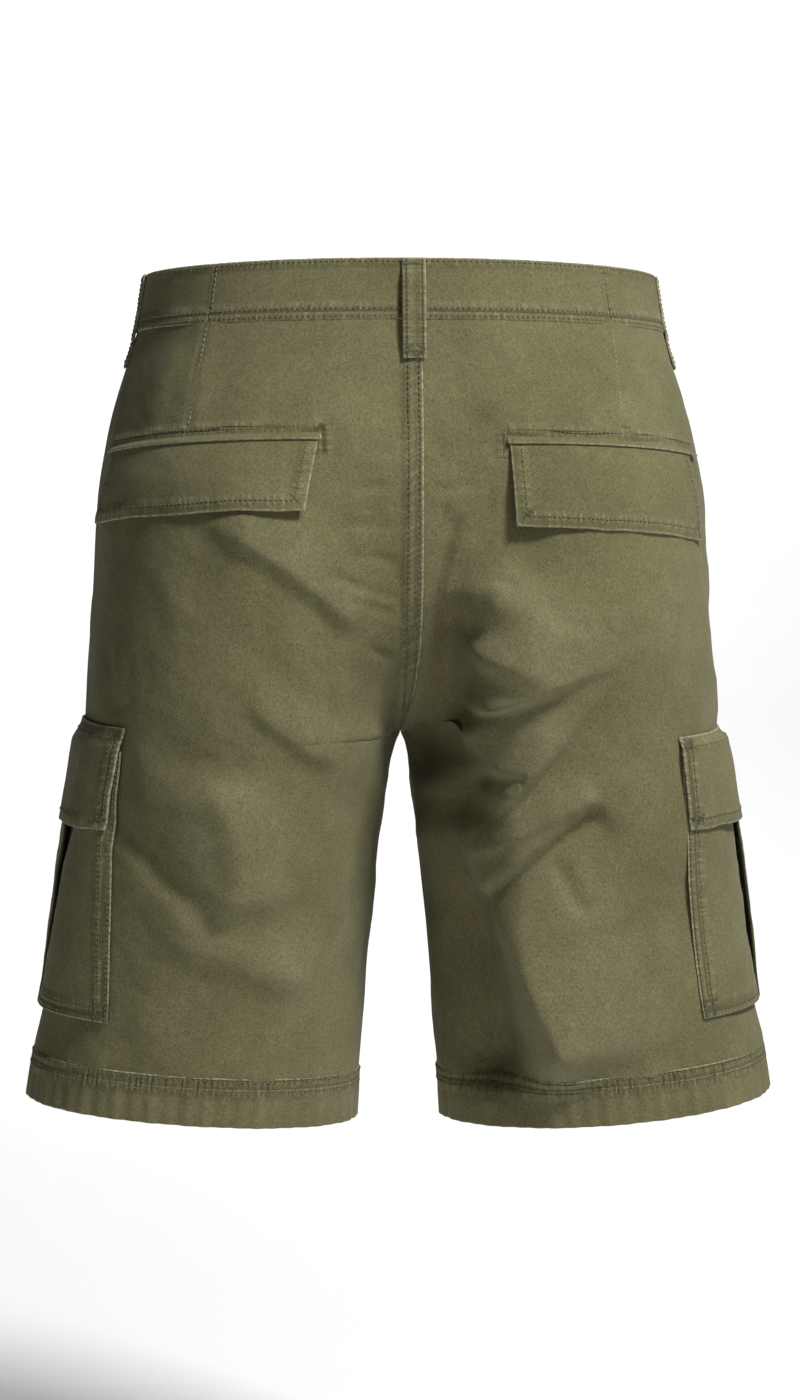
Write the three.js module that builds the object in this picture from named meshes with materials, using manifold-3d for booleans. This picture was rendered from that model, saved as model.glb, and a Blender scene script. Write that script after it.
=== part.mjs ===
// Cargo shorts in the form they have when worn, hollow and with no wearer.
// Millimetres, +Z up, the front of the garment towards -Y and its left side towards +X.
// The origin is the middle of the waist opening, level with the band's top edge at the back.
import * as THREE from "three";
import Module from "manifold-3d";

// Cloth and seams
const GAP = 0.3; // between neighbouring pieces
const TWILL = 1.2; // wall of one panel
const BAND_WALL = 2.4;
const BAND_PROUD = 0.8; // the band's face stands this far out of the panels' faces
const BAND_DEPTH = 35;
const HEM_DEPTH = 28;
const HEM_WALL = 2.2;
const HEM_PROUD = 0.3;
const LAP = 5; // the left back panel is lapped over the seat seam by this much each way
const LAP_RAISE = 0.9;
const STEP = 0.8; // width of the slope at the edge of a raised lap

// The bottom of the rise, where the seat seam meets the inseams, and the radii that it turns with
const CROTCH = { z: -274, y: 4, backRadius: 90, frontRadius: 80 };

// The garment's size at levels down the side seam. outer and inner are measured from the middle
// plane, back, front and side from the X axis; backPeak and frontPeak are how far out the cloth is
// deepest, cleft how much shallower it is on the seat seam. sag and drop are how much lower the level
// is at the sides and the centre front than at the centre back, lift how much lower at the inseam.
const LEVELS = [
  { z: 0, outer: 150.5, inner: 0, back: 108, front: -104, side: 2, backPeak: 14, frontPeak: 16, cleft: 0, sag: 3.5, drop: 14, lift: 0 },
  { z: -35, outer: 156.5, inner: 0, back: 112, front: -107, side: 2, backPeak: 22, frontPeak: 18, cleft: 0, sag: 2.6, drop: 12, lift: 0 },
  { z: -76, outer: 169, inner: 0, back: 118, front: -110, side: 3, backPeak: 42, frontPeak: 24, cleft: 1, sag: 1.4, drop: 9, lift: 0 },
  { z: -100, outer: 174.5, inner: 0, back: 122, front: -111, side: 4, backPeak: 56, frontPeak: 30, cleft: 2, sag: 0.8, drop: 7, lift: 0 },
  { z: -136, outer: 180, inner: 0, back: 126, front: -112, side: 5, backPeak: 72, frontPeak: 42, cleft: 4, sag: 0, drop: 4, lift: 0 },
  { z: -196, outer: 183.5, inner: 0, back: 127, front: -111, side: 6, backPeak: 84, frontPeak: 66, cleft: 8, sag: 0, drop: 0, lift: 0 },
  { z: -236, outer: 186.5, inner: 0, back: 122, front: -109, side: 6, backPeak: 92, frontPeak: 84, cleft: 10, sag: 0, drop: 0, lift: 0 },
  { z: -274, outer: 188.5, inner: 0.3, back: 114, front: -106, side: 5, backPeak: 97, frontPeak: 95, cleft: 10, sag: 0, drop: 0, lift: 0 },
  { z: -280, outer: 189.2, inner: 3, back: 113, front: -105, side: 5, backPeak: 98, frontPeak: 96, cleft: 0, sag: 0, drop: 0, lift: 0.4 },
  { z: -292, outer: 190.8, inner: 5, back: 110, front: -104, side: 5, backPeak: 100, frontPeak: 98, cleft: 0, sag: 0, drop: 0, lift: 1 },
  { z: -316, outer: 194, inner: 8, back: 105, front: -101, side: 4, backPeak: 103, frontPeak: 102, cleft: 0, sag: 0, drop: 0, lift: 3 },
  { z: -352, outer: 199, inner: 12, back: 98, front: -96, side: 3, backPeak: 107, frontPeak: 106, cleft: 0, sag: 0, drop: 0, lift: 6 },
  { z: -388, outer: 204.5, inner: 16, back: 91, front: -90, side: 2, backPeak: 111, frontPeak: 110, cleft: 0, sag: 0, drop: 0, lift: 9 },
  { z: -424, outer: 211, inner: 19, back: 85, front: -85, side: 1, backPeak: 115, frontPeak: 114, cleft: 0, sag: 0, drop: 0, lift: 12 },
  { z: -460, outer: 219, inner: 22, back: 80, front: -81, side: 0, backPeak: 119, frontPeak: 119, cleft: 0, sag: 0, drop: 0, lift: 12.5 },
  { z: -490.5, outer: 224, inner: 24, back: 76, front: -78, side: 0, backPeak: 123, frontPeak: 123, cleft: 0, sag: 0, drop: 0, lift: 15 },
];
const HEM_Z = LEVELS.at(-1).z;
const HANG = { from: -375, left: 0.6, right: 3 }; // how much lower the back of each hem hangs
const LEFT_INSEAM_OUT = 3; // the left leg is held this much further out at its inseam
const QUARTER = 0.55; // handle of a cubic that follows a quarter of an ellipse, as a share of its side
const SIDE_ROUND = 0.6; // the same at the sides, where worn cloth is a little squarer
const FLAT_HANDLE = 0.36;
const CORNER = 0.22; // how much squarer the legs are on the inside at the crotch
const CORNER_FADE = 100; // and the length of leg over which that is lost

const clamp = (x, lo, hi) => Math.min(hi, Math.max(lo, x));
const smooth = (x) => {
  const t = clamp(x, 0, 1);
  return t * t * (3 - 2 * t);
};
const mix = (a, b, t) => a + (b - a) * t;

// One column of a table at z, by a cubic through its rows whose slopes are the rows' own.
function column(table, name, z) {
  const last = table.length - 2;
  let i = table.findIndex((row, k) => k > 0 && z >= row.z) - 1;
  i = i < 0 ? (z >= table[0].z ? 0 : last) : i;
  const slope = (k) => {
    const a = table[Math.max(0, k - 1)];
    const b = table[Math.min(table.length - 1, k + 1)];
    return (b[name] - a[name]) / (b.z - a.z);
  };
  const [a, b] = [table[i], table[i + 1]];
  const span = b.z - a.z;
  const t = (z - a.z) / span;
  if (t < 0) return a[name] + slope(i) * (z - a.z);
  if (t > 1) return b[name] + slope(i + 1) * (z - b.z);
  const [t2, t3] = [t * t, t * t * t];
  return (
    (2 * t3 - 3 * t2 + 1) * a[name] +
    (t3 - 2 * t2 + t) * span * slope(i) +
    (3 * t2 - 2 * t3) * b[name] +
    (t3 - t2) * span * slope(i + 1)
  );
}

// The rise at a level: how deep the seat or fly seam lies, as a share of the cloth's depth there,
// and the direction in which the cloth leaves it, turned from straight out sideways. Close above the
// crotch that is not quite fore and aft, so that the rise runs smoothly into the legs.
function rise(z, radius) {
  const h = clamp((z - CROTCH.z) / radius, 0, 1);
  const depth = Math.sqrt(1 - (1 - h) ** 2);
  const saddle = 0.2 * (z > CROTCH.z ? 1 : smooth(1 - (CROTCH.z - z) / 32));
  return { depth, turn: Math.atan2(1.15 * (1 - h), Math.hypot(depth, saddle)) };
}

// A stretch of a ring from the seam to the deepest point, then another round to the side seam. grip
// (0 to 1) holds the first one longer in the direction in which it leaves the seam.
function quarters(size, seamY, turn, grip, peakX, peakY) {
  const [dx, dy] = [peakX - size.inner, Math.abs(peakY - seamY)];
  const way = Math.sign(peakY);
  const share = FLAT_HANDLE + (QUARTER - FLAT_HANDLE) * Math.sin(turn);
  const reach = (share + CORNER * grip) * (dx * Math.cos(turn) + dy * Math.sin(turn));
  const seam = [size.inner, seamY];
  const peak = [peakX, peakY];
  const side = [size.outer, size.side];
  return [
    [
      seam,
      [seam[0] + reach * Math.cos(turn), seam[1] + way * reach * Math.sin(turn)],
      [peak[0] - share * dx, peak[1]],
      peak,
    ],
    [
      peak,
      [peak[0] + SIDE_ROUND * (side[0] - peak[0]), peak[1]],
      [side[0], side[1] + SIDE_ROUND * (peak[1] - side[1])],
      side,
    ],
  ];
}

function cubic([a, b, c, d], t) {
  const u = 1 - t;
  const weights = [u * u * u, 3 * u * u * t, 3 * u * t * t, t * t * t];
  return [0, 1].map((k) => weights[0] * a[k] + weights[1] * b[k] + weights[2] * c[k] + weights[3] * d[k]);
}

// The plan of half the garment at a level: the back curve and the front curve, each from the middle
// to the side seam, with the running length at its samples and where it has turned to run sideways.
const SAMPLES = 40;
const plans = new Map();
function plan(z) {
  const key = Math.round(z * 100);
  if (plans.has(key)) return plans.get(key);
  const size = Object.fromEntries(Object.keys(LEVELS[0]).map((name) => [name, column(LEVELS, name, z)]));
  if (z > CROTCH.z) size.inner = 0;
  const made = { size };
  for (const [half, radius] of [["back", CROTCH.backRadius], ["front", CROTCH.frontRadius]]) {
    const { depth, turn } = rise(z, radius);
    const peakY = size[half];
    const seamY = CROTCH.y + (peakY - Math.sign(peakY) * size.cleft - CROTCH.y) * depth;
    const grip = Math.sin(turn) ** 8 * (z > CROTCH.z ? 1 : smooth(1 - (CROTCH.z - z) / CORNER_FADE));
    const curves = quarters(size, seamY, turn, grip, size[half + "Peak"], peakY);
    const lengths = [0];
    const steep = [];
    let before = curves[0][0];
    for (let i = 1; i <= 2 * SAMPLES; i++) {
      const now = i <= SAMPLES ? cubic(curves[0], i / SAMPLES) : cubic(curves[1], i / SAMPLES - 1);
      const [dx, dy] = [now[0] - before[0], now[1] - before[1]];
      lengths.push(lengths.at(-1) + Math.hypot(dx, dy));
      steep.push(Math.abs(dy) - dx);
      before = now;
    }
    const k = steep.findIndex((s) => s <= 0);
    const bend = k < 1 ? 0 : mix(lengths[k - 1], lengths[k], 0.5 + steep[k - 1] / (steep[k - 1] - steep[k]));
    made[half] = { curves, lengths, length: lengths.at(-1), bend };
  }
  plans.set(key, made);
  return made;
}

const lengthOf = (half, z) => plan(z)[half].length;

// The unfolded cloth at a distance from the middle of the back or front, on the left (side 1) or
// right (side -1). A negative distance lies across the middle, or across the inseam in a leg.
function bare(side, half, distance, z) {
  if (distance < 0 && z <= CROTCH.z) return bare(side, half === "back" ? "front" : "back", -distance, z);
  const { size, [half]: run } = plan(z);
  const away = Math.abs(distance);
  let i = run.lengths.findIndex((l) => l >= away);
  i = i < 1 ? (i === 0 ? 1 : run.lengths.length - 1) : i;
  const t = (i - 1 + (away - run.lengths[i - 1]) / (run.lengths[i] - run.lengths[i - 1])) / SAMPLES;
  const [x, y] = t <= 1 ? cubic(run.curves[0], t) : cubic(run.curves[1], t - 1);
  const frontness = smooth((size.side - y) / (size.side - size.front));
  const middleness = (size.outer - x) / (size.outer - size.inner);
  const sag = size.sag * (1 - middleness) ** 2 * (1 - frontness);
  const hang = 4 * (side > 0 ? HANG.left : HANG.right) * middleness * (1 - middleness) * smooth(y / 40);
  const lower = size.lift * middleness + sag + size.drop * frontness + hang * smooth((HANG.from - z) / 110);
  const apart = side > 0 ? LEFT_INSEAM_OUT * middleness * smooth((CROTCH.z - z) / 40) : 0;
  return new THREE.Vector3(side * (x + apart) * (distance < 0 ? -1 : 1), y, z - lower);
}

// The way out of a surface given by a function of distance and level. Near the crotch, where rise
// and leg meet in a corner, the level is only changed away from it.
function outward(point, side, half, distance, z) {
  const e = 0.6;
  const [low, high] = Math.abs(z - CROTCH.z) > e ? [e, e] : z > CROTCH.z ? [0, e] : [e, 0];
  const along = point(side, half, distance + e, z).sub(point(side, half, distance - e, z));
  const down = point(side, half, distance, z - low).sub(point(side, half, distance, z + high));
  const n = along.cross(down).normalize();
  return n.multiplyScalar((half === "back" ? 1 : -1) * side);
}

// The largest folds, each along a line on the back or front seen square on, in x and z. left and
// right are how far a fold reaches towards the wearer's left and right, height is negative for a
// trough, sharp is near 0 for a crisp line, bow is how far its middle is bent to the wearer's left.
const FOLDS = {
  back: [
    { x1: 114, z1: -148, x2: 33, z2: -207, left: 12, right: 42, height: 5.6, sharp: 0.2, bow: -3 },
    { x1: 92, z1: -250, x2: 48, z2: -283, left: 9, right: 20, height: 2.4, sharp: 0.25, bow: 3 },
    { x1: 119, z1: -292, x2: 109, z2: -378, left: 44, right: 44, height: 9, sharp: 0.08, bow: -13 },
    { x1: 172, z1: -316, x2: 112, z2: -380, left: 13, right: 14, height: -3.4, sharp: 0.5, bow: 0 },
    { x1: 146, z1: -390, x2: 54, z2: -422, left: 17, right: 34, height: 4.4, sharp: 0.3, bow: 4 },
    { x1: -51, z1: -178, x2: -29, z2: -222, left: 27, right: 34, height: 8, sharp: 0.15, bow: 0 },
    { x1: -30, z1: -214, x2: -46, z2: -251, left: 36, right: 34, height: 8, sharp: 0.12, bow: -2 },
    { x1: -20, z1: -258, x2: -66, z2: -289, left: 30, right: 36, height: 8, sharp: 0.1, bow: 0 },
    { x1: -10, z1: -262, x2: -26, z2: -456, left: 32, right: 46, height: -10, sharp: 0.8, bow: 0 },
    { x1: -26, z1: -320, x2: -92, z2: -460, left: 48, right: 46, height: 11, sharp: 0.05, bow: -4 },
    { x1: -44, z1: -368, x2: -109, z2: -310, left: 8, right: 34, height: -5.6, sharp: 0.16, bow: 1 },
  ],
  front: [
    { x1: 12, z1: -262, x2: 82, z2: -206, left: 13, right: 15, height: -4.4, sharp: 0.4, bow: -3 },
    { x1: -10, z1: -260, x2: -88, z2: -212, left: 14, right: 15, height: -4.6, sharp: 0.4, bow: 3 },
    { x1: 22, z1: -290, x2: 100, z2: -378, left: 30, right: 26, height: 5.4, sharp: 0.15, bow: -4 },
    { x1: -22, z1: -288, x2: -108, z2: -356, left: 24, right: 30, height: 5.6, sharp: 0.15, bow: 5 },
    { x1: 132, z1: -316, x2: 114, z2: -446, left: 16, right: 22, height: -3.4, sharp: 0.5, bow: 2 },
    { x1: -128, z1: -330, x2: -110, z2: -450, left: 22, right: 16, height: -3.2, sharp: 0.5, bow: -2 },
  ],
};
const FOLD_FADE = 22;

function foldHeight(half, x, z) {
  return FOLDS[half].reduce((sum, { x1, z1, x2, z2, left, right, height, sharp, bow }) => {
    const [dx, dz] = [x2 - x1, z2 - z1];
    const length = Math.hypot(dx, dz);
    const along = ((x - x1) * dx + (z - z1) * dz) / length;
    const way = dz - 0.3 * dx > 0 ? 1 : -1;
    const share = Math.min(1, Math.max(0, along / length));
    const across = (way * ((x - x1) * dz - (z - z1) * dx)) / length - 4 * bow * share * (1 - share);
    const q = across / (across > 0 ? left : right);
    const p = 1 - (Math.hypot(q, sharp) - sharp) / (Math.hypot(1, sharp) - sharp);
    const taper = smooth(along / FOLD_FADE + 0.35) * smooth((length - along) / FOLD_FADE + 0.35);
    return sum + height * Math.max(0, p) ** 1.5 * taper;
  }, 0);
}

// The folds fade out towards the side seam and near the middle, where the seam holds the cloth.
function folded(side, half, distance, z) {
  const p = bare(side, half, distance, z);
  const length = lengthOf(half, z);
  const free = smooth((length - Math.abs(distance)) / 60) * smooth(Math.abs(distance) / 22);
  const height = foldHeight(half, p.x, p.z) * free;
  return Math.abs(height) < 1e-3 ? p : p.addScaledVector(outward(bare, side, half, distance, z), height);
}

// A point this far out of the cloth's face.
function lifted(side, half, distance, z, height) {
  const p = folded(side, half, distance, z);
  return p.addScaledVector(outward(folded, side, half, distance, z), height);
}

// The same by distance from the side seam: towards the back it is negative, towards the front positive.
const beside = (side, a, z, height) =>
  a < 0
    ? lifted(side, "back", lengthOf("back", z) + a, z, height)
    : lifted(side, "front", lengthOf("front", z) - a, z, height);

// A closed wall over a grid of places. face and lining give the outer and inner point of place i, j.
function wall(columns, rows, face, lining, ring = false) {
  const [nu, nv] = [columns, rows];
  const points = [];
  for (const sheet of [face, lining])
    for (let i = 0; i < nu; i++) for (let j = 0; j < nv; j++) points.push(sheet(i, j));
  const at = (k, i, j) => k * nu * nv + (i % nu) * nv + j;
  const index = [];
  const quad = (a, b, c, d) => index.push(a, b, c, a, c, d);
  const across = ring ? nu : nu - 1;
  for (let i = 0; i < across; i++) {
    for (let j = 0; j < nv - 1; j++) {
      quad(at(0, i, j), at(0, i, j + 1), at(0, i + 1, j + 1), at(0, i + 1, j));
      quad(at(1, i, j), at(1, i + 1, j), at(1, i + 1, j + 1), at(1, i, j + 1));
    }
    quad(at(0, i, 0), at(0, i + 1, 0), at(1, i + 1, 0), at(1, i, 0));
    quad(at(0, i, nv - 1), at(1, i, nv - 1), at(1, i + 1, nv - 1), at(0, i + 1, nv - 1));
  }
  if (!ring)
    for (let j = 0; j < nv - 1; j++) {
      quad(at(0, 0, j), at(1, 0, j), at(1, 0, j + 1), at(0, 0, j + 1));
      quad(at(0, nu - 1, j), at(0, nu - 1, j + 1), at(1, nu - 1, j + 1), at(1, nu - 1, j));
    }
  return facingOut(points, index);
}

// A closed surface from its points and faces, turned so that its faces point out.
function facingOut(points, index) {
  let volume = 0;
  for (let k = 0; k < index.length; k += 3) {
    const [a, b, c] = [points[index[k]], points[index[k + 1]], points[index[k + 2]]];
    volume += a.dot(new THREE.Vector3().crossVectors(b, c));
  }
  const geometry = new THREE.BufferGeometry().setFromPoints(points);
  geometry.setIndex(volume < 0 ? index.toReversed() : index);
  geometry.computeVertexNormals();
  return geometry;
}

const olive = (name, color, roughness) => new THREE.MeshStandardMaterial({ name, color, roughness, metalness: 0 });
const TWILL_CLOTH = olive("twill", 0x6c6748, 0.92);
const BAND_CLOTH = olive("band twill", 0x6a6647, 0.92);

const garment = new THREE.Group();
function add(name, geometry, material = TWILL_CLOTH) {
  const mesh = new THREE.Mesh(geometry, material);
  mesh.name = name;
  garment.add(mesh);
}

// Levels of the panels' rows: even ones, and closer ones where the rise turns under.
const PANEL_TOP = -BAND_DEPTH - GAP;
const PANEL_END = HEM_Z + HEM_DEPTH + GAP;
const ROWS = [
  PANEL_TOP, -56, -76, -98, -120, -142, -164, -186, -206, -224, -240, -253, -263, -269.5, CROTCH.z,
  -281, -294, -312, -332, -353, -375, -397, -419, -441, PANEL_END,
];
const SIDE_COLUMNS = 9; // from where the cloth runs sideways to the side seam
const INNER_COLUMNS = 2; // between there and the lap
const INNER_LEAST = 28;

// How far over the middle the left panel reaches at a level, and how much of the lap is left.
const lapShare = (z) => smooth((z - CROTCH.z) / 30);

// A back or front panel. The left one is lapped over the seam, the right one stops short of the lap.
function panel(side, half) {
  const edge = (z) => mix(GAP / 2, side > 0 ? -LAP : LAP + GAP, lapShare(z));
  const place = (i, j) => {
    const z = ROWS[j];
    const start = edge(z);
    const end = lengthOf(half, z) - GAP / 2;
    const lapped = start + 2 * LAP;
    const near = side > 0 ? [start, lapped, lapped + STEP] : [start, start + LAP, start + 2 * LAP];
    if (i < near.length) return { d: near[i], z, raise: side > 0 && i < 2 ? LAP_RAISE * lapShare(z) : 0 };
    const bend = Math.max(plan(z)[half].bend, INNER_LEAST);
    const inner = (i - near.length + 1) / (INNER_COLUMNS + 1);
    const outer = (i - near.length - INNER_COLUMNS) / SIDE_COLUMNS;
    return { d: inner < 1 ? mix(near.at(-1), bend, inner) : mix(bend, end, outer), z, raise: 0 };
  };
  const face = (i, j) => {
    const { d, z, raise } = place(i, j);
    return lifted(side, half, d, z, raise);
  };
  const lining = (i, j) => {
    const { d, z } = place(i, j);
    return lifted(side, half, d, z, -TWILL);
  };
  return wall(4 + INNER_COLUMNS + SIDE_COLUMNS, ROWS.length, face, lining);
}

for (const [side, word] of [[1, "left"], [-1, "right"]])
  for (const half of ["back", "front"]) add(`${half}_panel_${word}`, panel(side, half));

// The turned-up hem of a leg, a ring of two layers.
const HEM_COLUMNS = 36;
const HEM_ROWS = [HEM_Z + HEM_DEPTH, HEM_Z + HEM_DEPTH / 2, HEM_Z];
function hem(side) {
  const point = (height) => (i, j) => {
    const z = HEM_ROWS[j];
    const [back, front] = [lengthOf("back", z), lengthOf("front", z)];
    const run = (i / HEM_COLUMNS) * 2;
    return run < 1
      ? lifted(side, "back", run * back, z, height)
      : lifted(side, "front", (2 - run) * front, z, height);
  };
  return wall(HEM_COLUMNS, HEM_ROWS.length, point(HEM_PROUD), point(HEM_PROUD - HEM_WALL), true);
}
add("hem_left", hem(1));
add("hem_right", hem(-1));

// The waistband: a back piece between two joins, and a piece to each side that runs to the front.
// A distance round it is measured from the centre back along the top edge.
const BAND_JOIN = 116;
const BAND_STEP = 15;
const BAND_ROWS = [0, -BAND_DEPTH / 2, -BAND_DEPTH];
const BACK_RUN = lengthOf("back", 0);
const FRONT_RUN = lengthOf("front", 0);
const HALF_RUN = BACK_RUN + FRONT_RUN;
function onBand(side, distance, z, height) {
  if (distance <= BACK_RUN) return lifted(side, "back", (distance * lengthOf("back", z)) / BACK_RUN, z, height);
  return lifted(side, "front", ((HALF_RUN - distance) * lengthOf("front", z)) / FRONT_RUN, z, height);
}
function bandPiece(side, from, to, inset = () => 0) {
  const columns = Math.ceil((to - from) / BAND_STEP) + 1;
  const layer = (height) => (i, j) => {
    const distance = mix(from, to, i / (columns - 1));
    return onBand(side, distance, BAND_ROWS[j], height + inset(distance));
  };
  return wall(columns, BAND_ROWS.length, layer(BAND_PROUD), layer(BAND_PROUD - BAND_WALL));
}

// Left over right at the front, where the right end dives under the left one.
const BAND_LAP = 14;
const BAND_UNDERLAP = 24;
const UNDER_LENGTH = 26;
const under = (distance) => {
  const start = HALF_RUN - BAND_LAP - UNDER_LENGTH - 6;
  return -(BAND_WALL + GAP) * smooth((distance - start) / UNDER_LENGTH);
};
add("band_back", bandPiece(1, -BAND_JOIN, BAND_JOIN), BAND_CLOTH);
add("band_right", bandPiece(-1, BAND_JOIN + GAP, HALF_RUN + BAND_UNDERLAP, under), BAND_CLOTH);

// The waist button, and the buttonhole in the left end that its shank passes through.
const BUTTON = { radius: 8.5, thick: 2.8, dish: 0.7, dishRadius: 6.2, hole: 0.9, holeRing: 1.9, shank: 1.3, off: 0.5 };
const BUTTONHOLE = { length: 19, width: 3.6 };
const BUTTON_AT = { distance: HALF_RUN + 3, z: -BAND_DEPTH / 2 };
const module = await Module();
module.setup();
const { Manifold, Mesh } = module;

function solidOf(geometry) {
  const mesh = new Mesh({
    numProp: 3,
    vertProperties: new Float32Array(geometry.attributes.position.array),
    triVerts: new Uint32Array(geometry.index.array),
  });
  return new Manifold(mesh);
}
function geometryOf(solid) {
  const { vertProperties, triVerts } = solid.getMesh();
  const points = [];
  for (let i = 0; i < vertProperties.length; i += 3) points.push(new THREE.Vector3(...vertProperties.subarray(i, i + 3)));
  return facingOut(points, Array.from(triVerts));
}

// The middle of the button's place on the band's face, with its axes: along the band, up, and out.
function buttonFrame() {
  const at = (distance, z, height) => onBand(1, distance, z, height);
  const { distance, z } = BUTTON_AT;
  const out = at(distance, z, 1).sub(at(distance, z, 0)).normalize();
  const up = at(distance, z + 1, 0).sub(at(distance, z - 1, 0)).normalize();
  const along = new THREE.Vector3().crossVectors(up, out).normalize();
  return new THREE.Matrix4().makeBasis(along, new THREE.Vector3().crossVectors(out, along), out)
    .setPosition(at(distance, z, BAND_PROUD));
}
const BUTTON_FRAME = buttonFrame();
const placed = (solid) => solid.transform(BUTTON_FRAME.toArray());

function buttonholed(band) {
  const slot = Manifold.cube([BUTTONHOLE.length, BUTTONHOLE.width, 12], true);
  return geometryOf(solidOf(band).subtract(placed(slot)));
}
add("band_left", buttonholed(bandPiece(1, BAND_JOIN + GAP, HALF_RUN + BAND_LAP)), BAND_CLOTH);

function button() {
  const { radius, thick, dish, dishRadius, hole, holeRing, shank, off } = BUTTON;
  const cylinder = (height, r, sides, z) => Manifold.cylinder(height, r, r, sides).translate([0, 0, z]);
  const foot = -BAND_WALL;
  let solid = cylinder(thick, radius, 32, off).subtract(cylinder(thick, dishRadius, 32, off + thick - dish));
  for (const [x, y] of [[1, 1], [1, -1], [-1, 1], [-1, -1]])
    solid = solid.subtract(cylinder(thick, hole, 10, off + 1).translate([x * holeRing, y * holeRing, 0]));
  return geometryOf(placed(solid.add(cylinder(off + 0.4 - foot, shank, 12, foot))));
}
const HORN = new THREE.MeshStandardMaterial({ name: "button", color: 0x4b4433, roughness: 0.5, metalness: 0 });
add("waist_button", button(), HORN);

// A strip standing off the cloth between two sewn feet. Its line gives how high the underside is.
const LOOP = { width: 13, thick: 1.8, lining: 0.5 };
const LOOP_LINE = [
  { z: -0.8, stand: 0, onBand: 1 }, { z: -6, stand: 0, onBand: 1 }, { z: -11, stand: 1.7, onBand: 1 },
  { z: -19, stand: 2.1, onBand: 1 }, { z: -36, stand: 2.1, onBand: 1 }, { z: -46, stand: 1.9, onBand: 1 },
  { z: -51.5, stand: 0, onBand: 0 }, { z: -57, stand: 0, onBand: 0 },
];
function beltLoop(side, distance, seamRaise = 0) {
  const layer = (above) => (i, j) => {
    const { z, stand, onBand: share } = LOOP_LINE[j];
    const height = LOOP.lining + stand + mix(seamRaise, Math.max(seamRaise, BAND_PROUD), share) + above;
    return onBand(side, distance + (i / 2 - 0.5) * LOOP.width, z, height);
  };
  return wall(3, LOOP_LINE.length, layer(LOOP.thick), layer(0));
}
const SIDE_LOOP = BACK_RUN - 8;
const FRONT_LOOP = HALF_RUN - 84;
add("belt_loop_back", beltLoop(1, 0, LAP_RAISE), BAND_CLOTH);
for (const [side, word] of [[1, "left"], [-1, "right"]]) {
  add(`belt_loop_side_${word}`, beltLoop(side, SIDE_LOOP), BAND_CLOTH);
  add(`belt_loop_front_${word}`, beltLoop(side, FRONT_LOOP), BAND_CLOTH);
}

// A piece lying on the back panel between four corners given by distance and level: columns run from
// the inner end to the outer, rows from top to bottom, height(u, v) is the underside's.
function backPatch(side, corners, columns, rows, thick, height) {
  const [innerTop, outerTop, innerLow, outerLow] = corners;
  const layer = (above) => (i, j) => {
    const [u, v] = [i / (columns - 1), j / (rows - 1)];
    const bow = 6 * u * (1 - u);
    const d = mix(mix(innerTop[0], outerTop[0], u), mix(innerLow[0], outerLow[0], u), v);
    const z = mix(mix(innerTop[1], outerTop[1], u), mix(innerLow[1], outerLow[1], u), v);
    return lifted(side, "back", d, z + bow, height(u, v) + above);
  };
  return wall(columns, rows, layer(thick), layer(0));
}

// Back pockets: a welt and a flap. The left and right ones hang a little differently, as worn.
const WELT = { depth: 6.3, thick: 1.1, off: 0.5 };
const BACK_FLAP = { thick: 1.7, off: 0.5 };
const BACK_POCKETS = [
  { word: "left", side: 1, inner: 53, outer: 204, top: -96.5, outerTop: -103, flapOuter: [194, 226], low: [40, 39.5], slant: 9, curl: 1.6 },
  { word: "right", side: -1, inner: 52, outer: 194, top: -98.8, outerTop: -105, flapOuter: [181, 195], low: [46, 49], slant: 4, curl: 4.6 },
];
for (const { word, side, inner, outer, top, outerTop, flapOuter, low, slant, curl } of BACK_POCKETS) {
  const foot = WELT.depth + GAP;
  const welt = [[inner, top], [outer, outerTop], [inner, top - WELT.depth], [outer, outerTop - WELT.depth]];
  add(`back_welt_${word}`, backPatch(side, welt, 9, 2, WELT.thick, () => WELT.off));
  const flap = [
    [inner + 1, top - foot], [flapOuter[0], outerTop - foot],
    [inner + 1 + slant, top - foot - low[0]], [flapOuter[1], outerTop - foot - low[1]],
  ];
  const bowed = (u, v) => BACK_FLAP.off + 1.1 * Math.sin(Math.PI * v) + curl * v * v * (1 - u) ** 3;
  add(`back_flap_${word}`, backPatch(side, flap, 11, 4, BACK_FLAP.thick, bowed));
}

// Cargo pockets, folded from one sheet with an inverted pleat. Across the pocket the sheet climbs to
// a fold, turns back under it, runs below both folds and comes up again.
const POCKET = { top: -280, low: -436, sheet: 0.85, under: 0.95, between: 1.25, tuck: 13, edge: 1.45 };
const FLAP = { low: -326, thick: 1.5, off: 1.3, topOff: 1.1, over: 1.5 };
const UPPER = POCKET.under + 2 * POCKET.between;

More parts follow.
